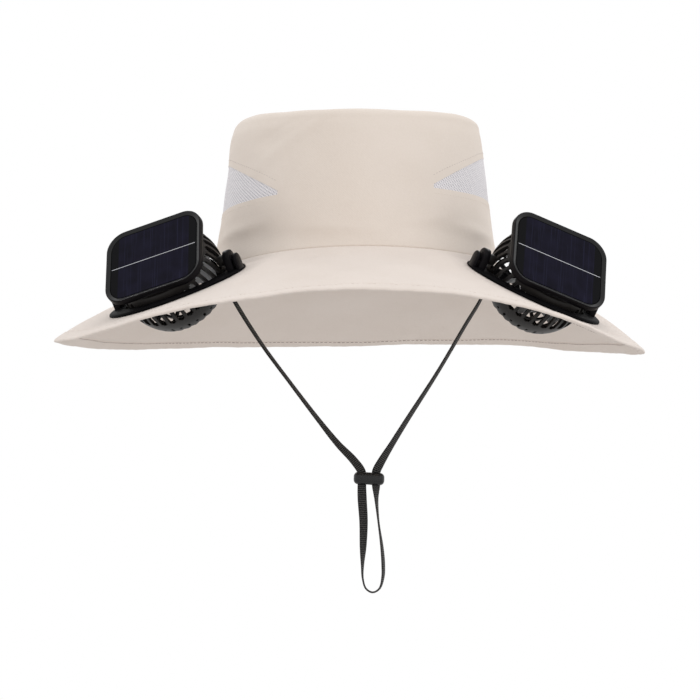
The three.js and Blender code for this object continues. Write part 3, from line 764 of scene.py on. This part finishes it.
def window_band(angle):
    """Sill and upper edge of the mesh windows as heights on the crown, carried on round it as a thin band."""
    from_side = np.abs(np.mod(angle + math.pi / 2, math.pi) - math.pi / 2)
    rise = np.where(np.cos(angle) > 0, WINDOW_RISE["right"], WINDOW_RISE["left"])
    fade = 1 - smoothstep(from_side, WINDOW_REACH, math.pi / 2)
    across = np.clip(from_side / WINDOW_REACH, 0, 1)
    tall = WINDOW_END + WINDOW_HEIGHT * (1 - across**WINDOW_BOW)
    sill = WINDOW_SILL + rise * fade
    return sill, sill + tall


# Rows of the crown's grid below, in and above the windows, on the cap, and of the shoulder below the cap
ROWS_BELOW, ROWS_IN, ROWS_ABOVE, ROWS_CAP, ROWS_SHOULDER = 26, 14, 36, 14, 10
LAST_OPEN = ROWS_BELOW + ROWS_IN


def crown_grid():
    """Angles and shares of the crown's side, with columns and rows on the edges of the windows."""
    spread = WINDOW_REACH / WINDOW_COLUMNS
    angles = np.arange(CROWN_COLUMNS) * COLUMN_TURN
    for middle in WINDOW_MIDDLES.values():
        for k in range(-WINDOW_COLUMNS, WINDOW_COLUMNS + 1):
            angles[(middle + k) % CROWN_COLUMNS] = (middle * COLUMN_TURN + k * spread) % TURN
    sill, upper = window_band(angles)
    low = np.interp(sill, HEIGHTS, SHARES)
    high = np.interp(upper, HEIGHTS, SHARES)
    rows = [low * s for s in np.linspace(0, 1, ROWS_BELOW, endpoint=False) ** 1.15]
    rows += [low + (high - low) * s for s in np.linspace(0, 1, ROWS_IN, endpoint=False)]
    rows += [high + (1 - high) * s for s in np.linspace(0, 1, ROWS_ABOVE)]
    share = np.stack(rows, axis=1)
    return np.repeat(angles[:, None], share.shape[1], axis=1), share


def capped_top(points):
    """Adds rings that carry the crown's top on to its middle."""
    edge = points[:, -1]
    rings = []
    for s in np.linspace(1, 0.004, ROWS_CAP + 1)[1:]:
        ring = edge * np.array([s, s, 1])
        ring[:, 2] = CROWN_HEIGHT - (CROWN_HEIGHT - edge[:, 2]) * s * s
        rings.append(ring)
    return np.concatenate([points, np.stack(rings, axis=1)], axis=1)


def wrinkled(points, normals, angle):
    """Soft unevenness, faint folds above the dents and a diagonal fold at the upper left."""
    free = smoothstep(points[..., 2], 3, 14)
    soft = ripple(points, 42, 1.1, 3) + ripple(points, 17, 0.35, 4)
    height = points[..., 2] / CROWN_HEIGHT
    fold = np.zeros(angle.shape)
    for bearing, middle, spread, slant, width, depth in CROWN_FOLDS:
        off_line = height - middle - slant * turn_from(angle, bearing)
        fold += depth * bump_at(angle, bearing, spread, off_line / width)
    return points + normals * ((soft + fold) * free)[..., None]


def crown_places(full, angle):
    """Each point's place on the flat cloth: turn and rise on the side, and the plan on the top."""
    full = np.concatenate([full, full[:1]])
    rise = np.cumsum(np.linalg.norm(np.diff(full, axis=1, prepend=full[:, :1]), axis=-1), axis=1)
    turn = np.concatenate([angle, angle[:1] + TURN])
    places = np.stack([turn * HEAD_HALF_DEPTH, rise], axis=-1)
    side_rows = LAST_OPEN + ROWS_ABOVE - ROWS_SHOULDER
    places[:, side_rows:] = full[:, side_rows:, :2]
    return places


def in_window(i, j):
    """True for the cells of the crown's grid that lie in a window."""
    if not ROWS_BELOW <= j < LAST_OPEN:
        return False
    starts = [middle - WINDOW_COLUMNS for middle in WINDOW_MIDDLES.values()]
    return any((i - start) % CROWN_COLUMNS < 2 * WINDOW_COLUMNS for start in starts)


def make_crown(cloth, mesh_cloth, yarn_darkened_as_shade):
    angle, share = crown_grid()
    points = crown_surface(angle, share)
    full = capped_top(wrinkled(points, grid_normals(points), angle))
    angle = np.concatenate([angle, np.repeat(angle[:, -1:], ROWS_CAP, axis=1)], axis=1)
    normals = grid_normals(full)
    normals[:, -ROWS_CAP // 2 :] = (0, 0, 1)
    rounding = np.zeros(full.shape[:2])
    rounding[:, :2] = (0.7, 0.25)
    outer = full - normals * rounding[..., None]
    inner = full - normals * (CROWN_WALL - rounding)[..., None]
    inner[:, 0, 2] = outer[:, 0, 2]
    places = crown_places(full, angle)
    build = Build()
    wall(build, outer, inner, places * MM, is_open=in_window)
    crown = build.made("crown_cloth", cloth, "cloth")
    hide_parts("crown")

    offsets = np.arange(-WINDOW_COLUMNS, WINDOW_COLUMNS + 1)
    for side, middle in WINDOW_MIDDLES.items():
        columns = (middle + offsets) % CROWN_COLUMNS
        band, away, flat = (grid[columns][:, ROWS_BELOW : LAST_OPEN + 1] for grid in (full, normals, places))
        flat[..., 0] = (offsets * COLUMN_TURN * HEAD_HALF_DEPTH)[:, None]
        build = Build()
        wall(build, band - away * 0.3, band - away * 0.9, flat * MM, closed=False)
        panel = build.made(f"{side}_mesh_panel", mesh_cloth, "mesh")
        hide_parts(f"{side}_mesh_window")
        # The upper stitches are real thread, darkened as painted shade along the window's upper edge; the
        # lower stitches take the crown's cloth
        for name, row, used in (("upper", LAST_OPEN + 1, yarn_darkened_as_shade), ("lower", ROWS_BELOW - 1, cloth)):
            build = Build()
            line, up = full[columns][:, row], normals[columns][:, row]
            stitches(build, line, up, WINDOW_STITCH_PITCH, 1.7, 0.17, 0.02)
            build.made(f"{side}_window_stitches_{name}", used, "cloth")


def distances(line):
    """How far along a line each of its points lies."""
    return np.cumsum(np.linalg.norm(np.diff(line, axis=0, prepend=line[:1]), axis=1))


def read_line(values, done, at):
    return np.stack([np.interp(at, done, values[:, k]) for k in range(3)], axis=-1)


def stitches(build, line, normals, pitch, length, radius, lift=0.05):
    """A run of short sewn threads along a line on the cloth, with their ends sunk into it."""
    done = distances(line)
    turns = [TURN * k / 6 for k in range(6)]
    for spot in np.arange(0, done[-1], pitch)[:-1]:
        start, end = read_line(line, done, np.array([spot, spot + length]))
        up = unit(read_line(normals, done, np.array([spot + length / 2]))[0])
        side = unit(np.cross(unit(end - start), up))
        rings = []
        for share, size in ((0, 0.35), (0.25, 1), (0.75, 1), (1, 0.35)):
            sink = -radius * 0.9 if size < 1 else lift
            middle = start + (end - start) * share + up * sink
            rings.append([middle + radius * size * (math.cos(t) * side + math.sin(t) * up) for t in turns])
        skin(build, rings)


def make_hem_stitches(upper_thread, under_thread):
    angles = TURN * np.arange(721) / 720
    out = brim_form(angles)[0] - HEM_WIDTH + HEM_STITCH_INSET
    middle = brim_surface(angles, out)
    across = brim_surface(angles, out + 0.5) - brim_surface(angles, out - 0.5)
    upward = unit(np.cross(across, np.gradient(middle, axis=0)))
    moved = (brim_folds(middle) + hem_pucker(angles)) * away_from_fans(middle)
    runs = (("top", 1, upper_thread, 2.3, 0.1), ("under", -1, under_thread, 2.8, 0.22))
    for face, sign, used, length, radius in runs:
        up = upward * sign
        line = middle - upward * moved[:, None] + up * HEM_STITCH_LIFT
        build = Build()
        stitches(build, line, up, HEM_STITCH_PITCH, length, radius)
        build.made(f"hem_stitches_{face}", used, "cloth")


# Chin strap


def strap_samples(count):
    """Even samples along the strap's route: points, directions, rolls and distances."""
    route = np.array(STRAP_ROUTE, dtype=float)
    points = np.insert(route[:, :2], 1, 0, axis=1)
    padded = np.vstack([2 * points[0] - points[1], points, 2 * points[-1] - points[-2]])
    fine, turns = [], []
    parts = np.linspace(0, 1, 40, endpoint=False)
    t = parts[:, None]
    for k in range(len(points) - 1):
        p0, p1, p2, p3 = padded[k : k + 4]
        d0, d1, d2 = (np.linalg.norm(b - a) ** 0.5 for a, b in ((p0, p1), (p1, p2), (p2, p3)))
        t1 = ((p1 - p0) / d0 - (p2 - p0) / (d0 + d1) + (p2 - p1) / d1) * d1
        t2 = ((p2 - p1) / d1 - (p3 - p1) / (d1 + d2) + (p3 - p2) / d2) * d1
        fine.append(p1 + t1 * t + (3 * (p2 - p1) - 2 * t1 - t2) * t**2 + (2 * (p1 - p2) + t1 + t2) * t**3)
        turns.append((k + parts) / (len(points) - 1))
    fine = np.vstack([*fine, points[-1:]])
    done = distances(fine)
    at = np.linspace(0, done[-1], count)
    line = read_line(fine, done, at)
    share = np.interp(at, done, np.concatenate([*turns, [1]]))
    roll = np.radians(open_rows(route[:, 2:], share)[:, 0])
    return line, unit(np.gradient(line, axis=0)), roll, at


def make_strap(material):
    line, along, roll, at = strap_samples(420)
    in_plane = unit(np.cross(along, (0, 1, 0)))
    across = unit(np.cross(in_plane, along))
    width = in_plane * np.cos(roll)[:, None] + across * np.sin(roll)[:, None]
    thick = unit(np.cross(along, width))
    half, thin, steps = TAPE_WIDTH / 2, TAPE_THICKNESS / 2, 12
    shape = []
    for k in range(steps + 1):
        x = -half + 2 * half * k / steps
        shape.append((x, thin * (1 - (abs(x) / half) ** 6) ** 0.5 * 0.96 + 0.02))
    outline = shape + [(x, -y) for x, y in reversed(shape)]
    rings = []
    for k in range(len(line)):
        rib = 1 + RIB_SHARE * math.sin(TURN * at[k] / RIB_SPACING)
        rings.append([line[k] + width[k] * x + thick[k] * y * rib for x, y in outline])
    build = Build()
    skin(build, rings, place=lambda k, i: (at[k] * MM, outline[i][0] * MM))
    strap = build.made("strap_tape", material, "tape", sharp=math.radians(60))
    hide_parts("chin_strap")
    return strap, at[-1] * MM, [tuple(point * MM) for point in line]


def slot_cutter(place):
    shape = bmesh.new()
    bmesh.ops.create_cube(shape, size=1)
    bmesh.ops.scale(shape, vec=Vector(SLOT_SIZE) * MM, verts=shape.verts)
    edges = [e for e in shape.edges if abs((e.verts[0].co - e.verts[1].co).z) > 1e-4]
    bmesh.ops.bevel(shape, geom=edges, offset=SLOT_CORNER * MM, segments=4, affect="EDGES", profile=0.5)
    return placed("cutter", shape, place)


def make_toggle(plastic):
    """A lozenge bead with softly rounded edges and two slots that the strands run through."""
    radius, soft = TOGGLE_DEPTH / 2, TOGGLE_SOFT
    long = TOGGLE_LENGTH / 2 - radius
    turns = [math.pi / 2 * i / 5 for i in range(6)]
    flat = TOGGLE_HEIGHT / 2 - soft
    levels = [(-flat - soft * math.cos(t), radius - soft + soft * math.sin(t)) for t in turns]
    levels += [(-z, r) for z, r in reversed(levels)]
    bends = np.linspace(-math.pi / 2, math.pi / 2, 20)
    rings = []
    for z, r in levels:
        end = [(long + r * math.cos(a), r * math.sin(a), z) for a in bends]
        rings.append(end + [(-x, -y, z) for x, y, z in end])
    build = Build()
    skin(build, rings)
    place = Matrix.Translation(Vector(TOGGLE_CENTRE) * MM) @ Matrix.Rotation(TOGGLE_LEAN, 4, "Y")
    bead = build.made("toggle_bead", plastic, "black_plastic", place=place)
    for hand in (-1, 1):
        shift = Matrix.Translation(Vector((hand * SLOT_SHIFT, 0, 0)) * MM)
        cut_away(bead, slot_cutter(place @ shift @ Matrix.Rotation(SLOT_TURN, 4, "Z")))
    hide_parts("strap_toggle")
    return bead


# Fans


def ear_block(build, near, far, half_width, height):
    """An upright ear with a round top and softened edges, from x = near to x = far."""
    low, high = sorted((near, far))
    soft, inner, foot = 0.7, 0.21, GAP + 1
    steps = [(low, soft), (low + inner, inner), (low + soft, 0)]
    steps += [(high - soft, 0), (high - inner, inner), (high, soft)]
    rings = []
    for x, inset in steps:
        w = half_width - inset
        ring = [(x, -w, foot), (x, w, foot)]
        ring += [(x, w * math.cos(a), height + w * math.sin(a)) for a in np.linspace(0, math.pi, 17)]
        rings.append(ring)
    skin(build, rings)


def make_base(side, matt, plastic):
    """Oval plate with a rim round its bore, the collar with its clamp ring below, and the ears."""
    build = Build()
    columns = 168
    angles = TURN * np.arange(columns) / columns
    ring = np.stack([np.cos(angles), np.sin(angles)], axis=-1)
    reach = np.array([BASE_HALF_LENGTH, BASE_HALF_WIDTH]) - BORE_RADIUS
    upper, lower = [], []
    for share, high, low in PLATE_PROFILE:
        plan = ring * (BORE_RADIUS + reach * share)
        upper.append(np.column_stack([plan, np.full(columns, GAP + BASE_THICKNESS + high)]))
        lower.append(np.column_stack([plan, np.full(columns, GAP + low)]))
    wall(build, np.stack(lower, axis=1), np.stack(upper, axis=1))
    clamp_top = -BRIM_WALL - GAP
    clamp_foot = clamp_top - CLAMP_THICKNESS
    collar = BORE_RADIUS + COLLAR_WALL
    edge = collar + CLAMP_WIDTH
    section = [(BORE_RADIUS, clamp_foot + 0.3), (BORE_RADIUS + 0.3, clamp_foot)]
    section += [(edge - 0.5, clamp_foot), (edge, clamp_foot + 0.5), (edge, clamp_top)]
    section += [(collar, clamp_top), (collar, GAP + 0.5), (BORE_RADIUS, GAP + 0.5)]
    lathe(build, section, columns, looped=True)
    for hand in (1, -1):
        ear_block(build, hand * EAR_START, hand * EAR_END, EAR_HALF_WIDTH, PIVOT_HEIGHT)
        rim = rounded(hand * (EAR_END - 0.2), hand * (EAR_END + 0.35), PIN_RADIUS + 0.9, 0.3)
        lathe(build, rim, 24, "X", PIVOT_HEIGHT)
    inward = 1 if side == "left" else -1
    near, far = inward * (EAR_END + GUARD_GAP), inward * (EAR_END + GUARD_GAP + GUARD_THICKNESS)
    ear_block(build, near, far, EAR_HALF_WIDTH * GUARD_SHARE, PIVOT_HEIGHT * GUARD_SHARE)
    place = PLACES[side]["base"]
    base = build.made(f"{side}_base_plate", matt, "black_plastic", place=place, sharp=math.radians(35))
    base.data.materials.append(plastic)
    for polygon in base.data.polygons:
        polygon.material_index = int(polygon.center.z > EAR_FOOT * MM)
    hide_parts(f"{side}_fan_base")


def turned(section, angles):
    """Grid of a section's radius and height pairs at angles round the axis."""
    table = np.array(section)
    ring = np.stack([np.cos(angles), np.sin(angles)], axis=-1)
    height = np.repeat(table[None, :, 1:], len(angles), axis=0)
    return np.concatenate([ring[:, None, :] * table[None, :, :1], height], axis=-1)


def cage_sections():
    """Outer and inner section of the cage, from the mouth to the middle of the deck."""
    turns = [math.radians(row) for row in CAGE_ROWS]
    outer = [(BALL_RADIUS * math.cos(t), BALL_RADIUS * math.sin(t)) for t in turns]
    inside = BALL_RADIUS - BALL_WALL
    heights = [min(z, DECK_UNDER) for r, z in outer]
    inner = [(math.sqrt(max(inside**2 - z**2, 0)), z) for z in heights]
    rim, raised = BALL_RADIUS * math.cos(DECK_LATITUDE), DECK_TOP + 0.4
    outer += [(rim, DECK_TOP - 0.3), (rim - 0.5, DECK_TOP), (20, DECK_TOP), (14, DECK_TOP)]
    outer += [(13.7, raised), (0.3, raised)]
    corner = math.sqrt(inside**2 - DECK_UNDER**2)
    inner += [(r, DECK_UNDER) for r in (corner - 0.1, corner - 0.6, 20, 14, 13.6, 0.3)]
    return outer, inner


def in_cage_opening(i, j):
    """True for the cells of the cage's side windows, its ring of small holes and its toothed rim."""
    cell, window = i % len(CAGE_MARKS), i // len(CAGE_MARKS)
    is_open, is_middle = cell in OPEN_CELLS, cell == MIDDLE_CELL
    low, high = CAGE_ROWS.index(-6), CAGE_ROWS.index(24)
    if low <= j < high:
        return is_middle if j in (low, high - 1) else is_open
    low, high = CAGE_ROWS.index(-24), CAGE_ROWS.index(-18)
    if low <= j < high:
        return is_middle and (j not in (low, high - 1) or window % 2 == 0)
    return j == 0 and is_open or j == 1 and is_middle


def make_housing(side, plastic):
    """The ball's cage with its pins and their bosses."""
    angles = np.array([(k + mark) * TURN / CAGE_WINDOWS for k in range(CAGE_WINDOWS) for mark in CAGE_MARKS])
    outer, inner = cage_sections()
    build = Build()
    wall(build, turned(outer, angles), turned(inner, angles), is_open=in_cage_opening)
    pin = (BALL_RADIUS - 1, EAR_END - GAP, PIN_RADIUS, 0.4)
    boss = (BALL_RADIUS - 0.6, EAR_START - 0.5, PIN_RADIUS + 1.3, 0.5)
    for near, far, radius, soft in (pin, boss):
        for hand in (1, -1):
            lathe(build, rounded(hand * near, hand * far, radius, soft), 24, "X")
    cage = build.made(f"{side}_cage", plastic, "black_plastic", f"{side}_head", sharp=math.radians(32))
    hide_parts(f"{side}_fan_housing")


def in_grille_slot(i, j):
    return j in GRILLE_SLOTS and i % GRILLE_PITCH not in (0, GRILLE_PITCH - 1)


def make_grille(side, plastic):
    """A flat grille with rings and ribs and a low dome below its middle."""
    mouth = BALL_RADIUS * math.sin(math.radians(CAGE_ROWS[0]))
    edge = math.sqrt((BALL_RADIUS - BALL_WALL) ** 2 - mouth**2) - GAP
    radii = np.array([0.2, 5, 7.4, 8, 12.6, 14, 18.4, 19.8, edge - 3, edge - 0.4, edge])
    dome = np.array([1.0, 0.9, 0.7, 0.6, 0.42, 0.4, 0.2, 0.18, 0, 0, 0.3])
    angles = TURN * np.arange(GRILLE_COLUMNS) / GRILLE_COLUMNS
    lower = turned(np.column_stack([radii, mouth + 0.7 * dome]), angles)
    upper = turned(np.column_stack([radii, mouth + 2 - 0.25 * (radii > edge - 0.2)]), angles)
    build = Build()
    wall(build, lower, upper, is_open=in_grille_slot)
    grille = build.made(f"{side}_mouth_grille", plastic, "black_plastic", f"{side}_head")
    grille.data.flip_normals()
    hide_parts(f"{side}_fan_grille")


def make_motor(side, steel):
    """The motor's can, its bearing boss and its shaft."""
    top = DECK_UNDER - GAP
    bottom = top - MOTOR_LENGTH
    build = Build()
    lathe(build, rounded(bottom, top, MOTOR_RADIUS, 0.8), 48)
    lathe(build, rounded(bottom - 0.4, bottom + 0.4, BOSS_RADIUS, 0.3), 32)
    lathe(build, rounded(HUB_FLOOR + GAP, bottom + 1, SHAFT_RADIUS, 0.2), 20)
    motor = build.made(f"{side}_motor_can", steel, "motor_steel", f"{side}_head")
    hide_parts(f"{side}_fan_motor")


def blade_grids(turn, middle):
    """Both faces of a curved blade at a turn round the shaft, from hub to tip."""
    rows = []
    for r in np.linspace(HUB_RADIUS - 0.8, BLADE_TIP, 12):
        share = (r - HUB_RADIUS) / (BLADE_TIP - HUB_RADIUS)
        pitch = math.radians(42 - 12 * share)
        chord = BLADE_CHORD + 1.2 * share - 3.5 * max(share - 0.8, 0)
        tall = min(chord / 2 * math.cos(pitch), BLADE_HALF_HEIGHT)
        row = []
        for c in np.linspace(-1, 1, 9):
            angle = turn + (c * chord / 2 * math.sin(pitch) + BLADE_CAMBER * (1 - c * c)) / r
            half = BLADE_HALF_THICKNESS * (1 - 0.55 * share) * (1 - 0.75 * abs(c) ** 3) / r
            both = (angle - half, angle + half)
            row.append([(r * math.cos(at), r * math.sin(at), middle + c * tall) for at in both])
        rows.append(row)
    return np.moveaxis(np.array(rows), 2, 0)


def make_rotor(side, plastic):
    """A hub with a bore for the shaft, and the blades round it."""
    hub_top = DECK_UNDER - GAP - MOTOR_LENGTH - 0.5
    build = Build()
    section = rounded(HUB_BOTTOM, hub_top, HUB_RADIUS, 1.2, 5)
    bore = [(SHAFT_RADIUS + 0.4, hub_top), (SHAFT_RADIUS + 0.3, HUB_FLOOR), (0.2, HUB_FLOOR)]
    lathe(build, [(0.2, HUB_BOTTOM)] + section + bore, 56)
    for k in range(BLADES):
        wall(build, *blade_grids(TURN * k / BLADES, (hub_top + HUB_BOTTOM) / 2), closed=False)
    rotor = build.made(f"{side}_rotor_wheel", plastic, "grey_plastic", f"{side}_rotor")
    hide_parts(f"{side}_fan_rotor")


def rounded_loop(inset, height, steps=14):
    """A rounded rectangle of the panel's plan, drawn in by an inset, counterclockwise."""
    corner = max(FRAME_CORNER - inset, 1)
    x, y = FRAME_LENGTH / 2 - inset - corner, FRAME_DEPTH / 2 - inset - corner
    loop = []
    for quarter, (cx, cy) in enumerate(((x, y), (-x, y), (-x, -y), (x, -y))):
        for k in range(steps + 1):
            angle = math.pi / 2 * (quarter + k / steps)
            loop.append((cx + corner * math.cos(angle), cy + corner * math.sin(angle), height))
    return loop


def make_frame(side, plastic, glossy):
    """The panel's frame with a parting groove, a sloped glossy lip and a recess."""
    back, top = FRAME_RISE - FRAME_THICKNESS, FRAME_RISE
    floor = top - RECESS_DEPTH
    section = [(inset, back + height) for inset, height in FRAME_BACK]
    section += [(inset, top - depth) for inset, depth in FRAME_FRONT] + [(LIP_WIDTH, floor)]
    build = Build()
    skin(build, [rounded_loop(inset, height) for inset, height in section])
    panel = build.made(f"{side}_panel_frame", plastic, "black_plastic", f"{side}_head")
    panel.data.materials.append(glossy)
    for polygon in panel.data.polygons:
        outward = Vector((polygon.center.x, polygon.center.y, 0)).normalized()
        leans_in = polygon.normal.z > 0.2 and polygon.normal.dot(outward) < -0.12
        polygon.material_index = int(leans_in and polygon.center.z / MM > floor + 0.5)
    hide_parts(f"{side}_solar_frame")


def make_cell(side, glass, silver):
    top = FRAME_RISE - RECESS_DEPTH + GAP + 1
    inset = LIP_WIDTH + GAP
    build = Build()
    edge = ((inset, top - 1), (inset, top - 0.15), (inset + 0.15, top))
    skin(build, [rounded_loop(*spot) for spot in edge])
    cell = build.made(f"{side}_cell_glass", glass, "solar_cell", f"{side}_head")
    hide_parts(f"{side}_solar_cell")
    reach = FRAME_LENGTH / 2 - inset - 0.6
    low, high, half = top - 0.05, top + BUSBAR_RISE, BUSBAR_WIDTH / 2
    bar = [(-half, low), (half, low), (half * 0.7, high), (-half * 0.7, high)]
    build = Build()
    skin(build, [[(x, y, z) for y, z in bar] for x in (-reach, reach)])
    build.made(f"{side}_busbar", silver, "motor_steel", f"{side}_head")


def make_stage():
    shape = bmesh.new()
    bmesh.ops.create_circle(shape, cap_ends=True, segments=96, radius=6)
    floor = placed("floor", shape)
    floor.data.materials.append(floor_material())
    floor.location = (0, 0, -1)
    world = bpy.data.worlds.new("studio")
    bpy.context.scene.world = world
    world.use_nodes = True
    world.node_tree.nodes["Background"].inputs["Color"].default_value = (1, 1, 1, 1)
    bpy.context.scene.view_settings.view_transform = "Standard"
    for name, place, size, power in LAMPS:
        data = bpy.data.lights.new(name, "AREA")
        data.shape = "DISK"
        data.size = size
        data.energy = power
        lamp = new_object(name, data)
        lamp.location = place
        lamp.rotation_euler = (-Vector(place)).to_track_quat("-Z", "Y").to_euler()


make_camera()
tape, strap_length, strap_path = make_strap(tape_material())
black = plastic_material("satin_black", (0.0055, 0.005, 0.006), 0.3, 0.07)
matt = plastic_material("matt_black", (0.0045, 0.0043, 0.005), 0.5, 0.02)
cage_black = plastic_material("cage_black", (0.012, 0.0105, 0.0098), 0.36, 0.22)
gloss = plastic_material("gloss_black", (0.004, 0.004, 0.0045), 0.14, 0.3)
grey = plastic_material("grey_moulded", (0.66, 0.66, 0.67), 0.45, 0.3)
bead = make_toggle(plastic_material("bead_black", (0.012, 0.012, 0.0125), 0.3, 0.35))
crown_cloth = cloth_material("beige_cloth", (0.79, 0.706, 0.636), (0.735, 0.647, 0.572))
brim_cloth = cloth_material("pale_beige_cloth", (0.785, 0.704, 0.648), (0.73, 0.645, 0.583))
thread = cloth_material("thread", (0.36, 0.29, 0.27), (0.28, 0.22, 0.21))
make_brim(brim_cloth)
make_crown(crown_cloth, mesh_material(), cloth_material("yarn_darkened_as_shade", (0.6, 0.53, 0.49), (0.5, 0.44, 0.41)))
make_hem_stitches(brim_cloth, thread)
steel = metal_material("motor_can", (0.55, 0.55, 0.56), 0.35)
silver = metal_material("busbar_silver", (0.62, 0.63, 0.66), 0.4)
glass = cell_material()
for side in ("left", "right"):
    make_base(side, matt, black)
    make_housing(side, cage_black)
    make_grille(side, black)
    make_motor(side, steel)
    make_rotor(side, grey)
    make_frame(side, black, gloss)
    make_cell(side, glass, silver)
make_stage()
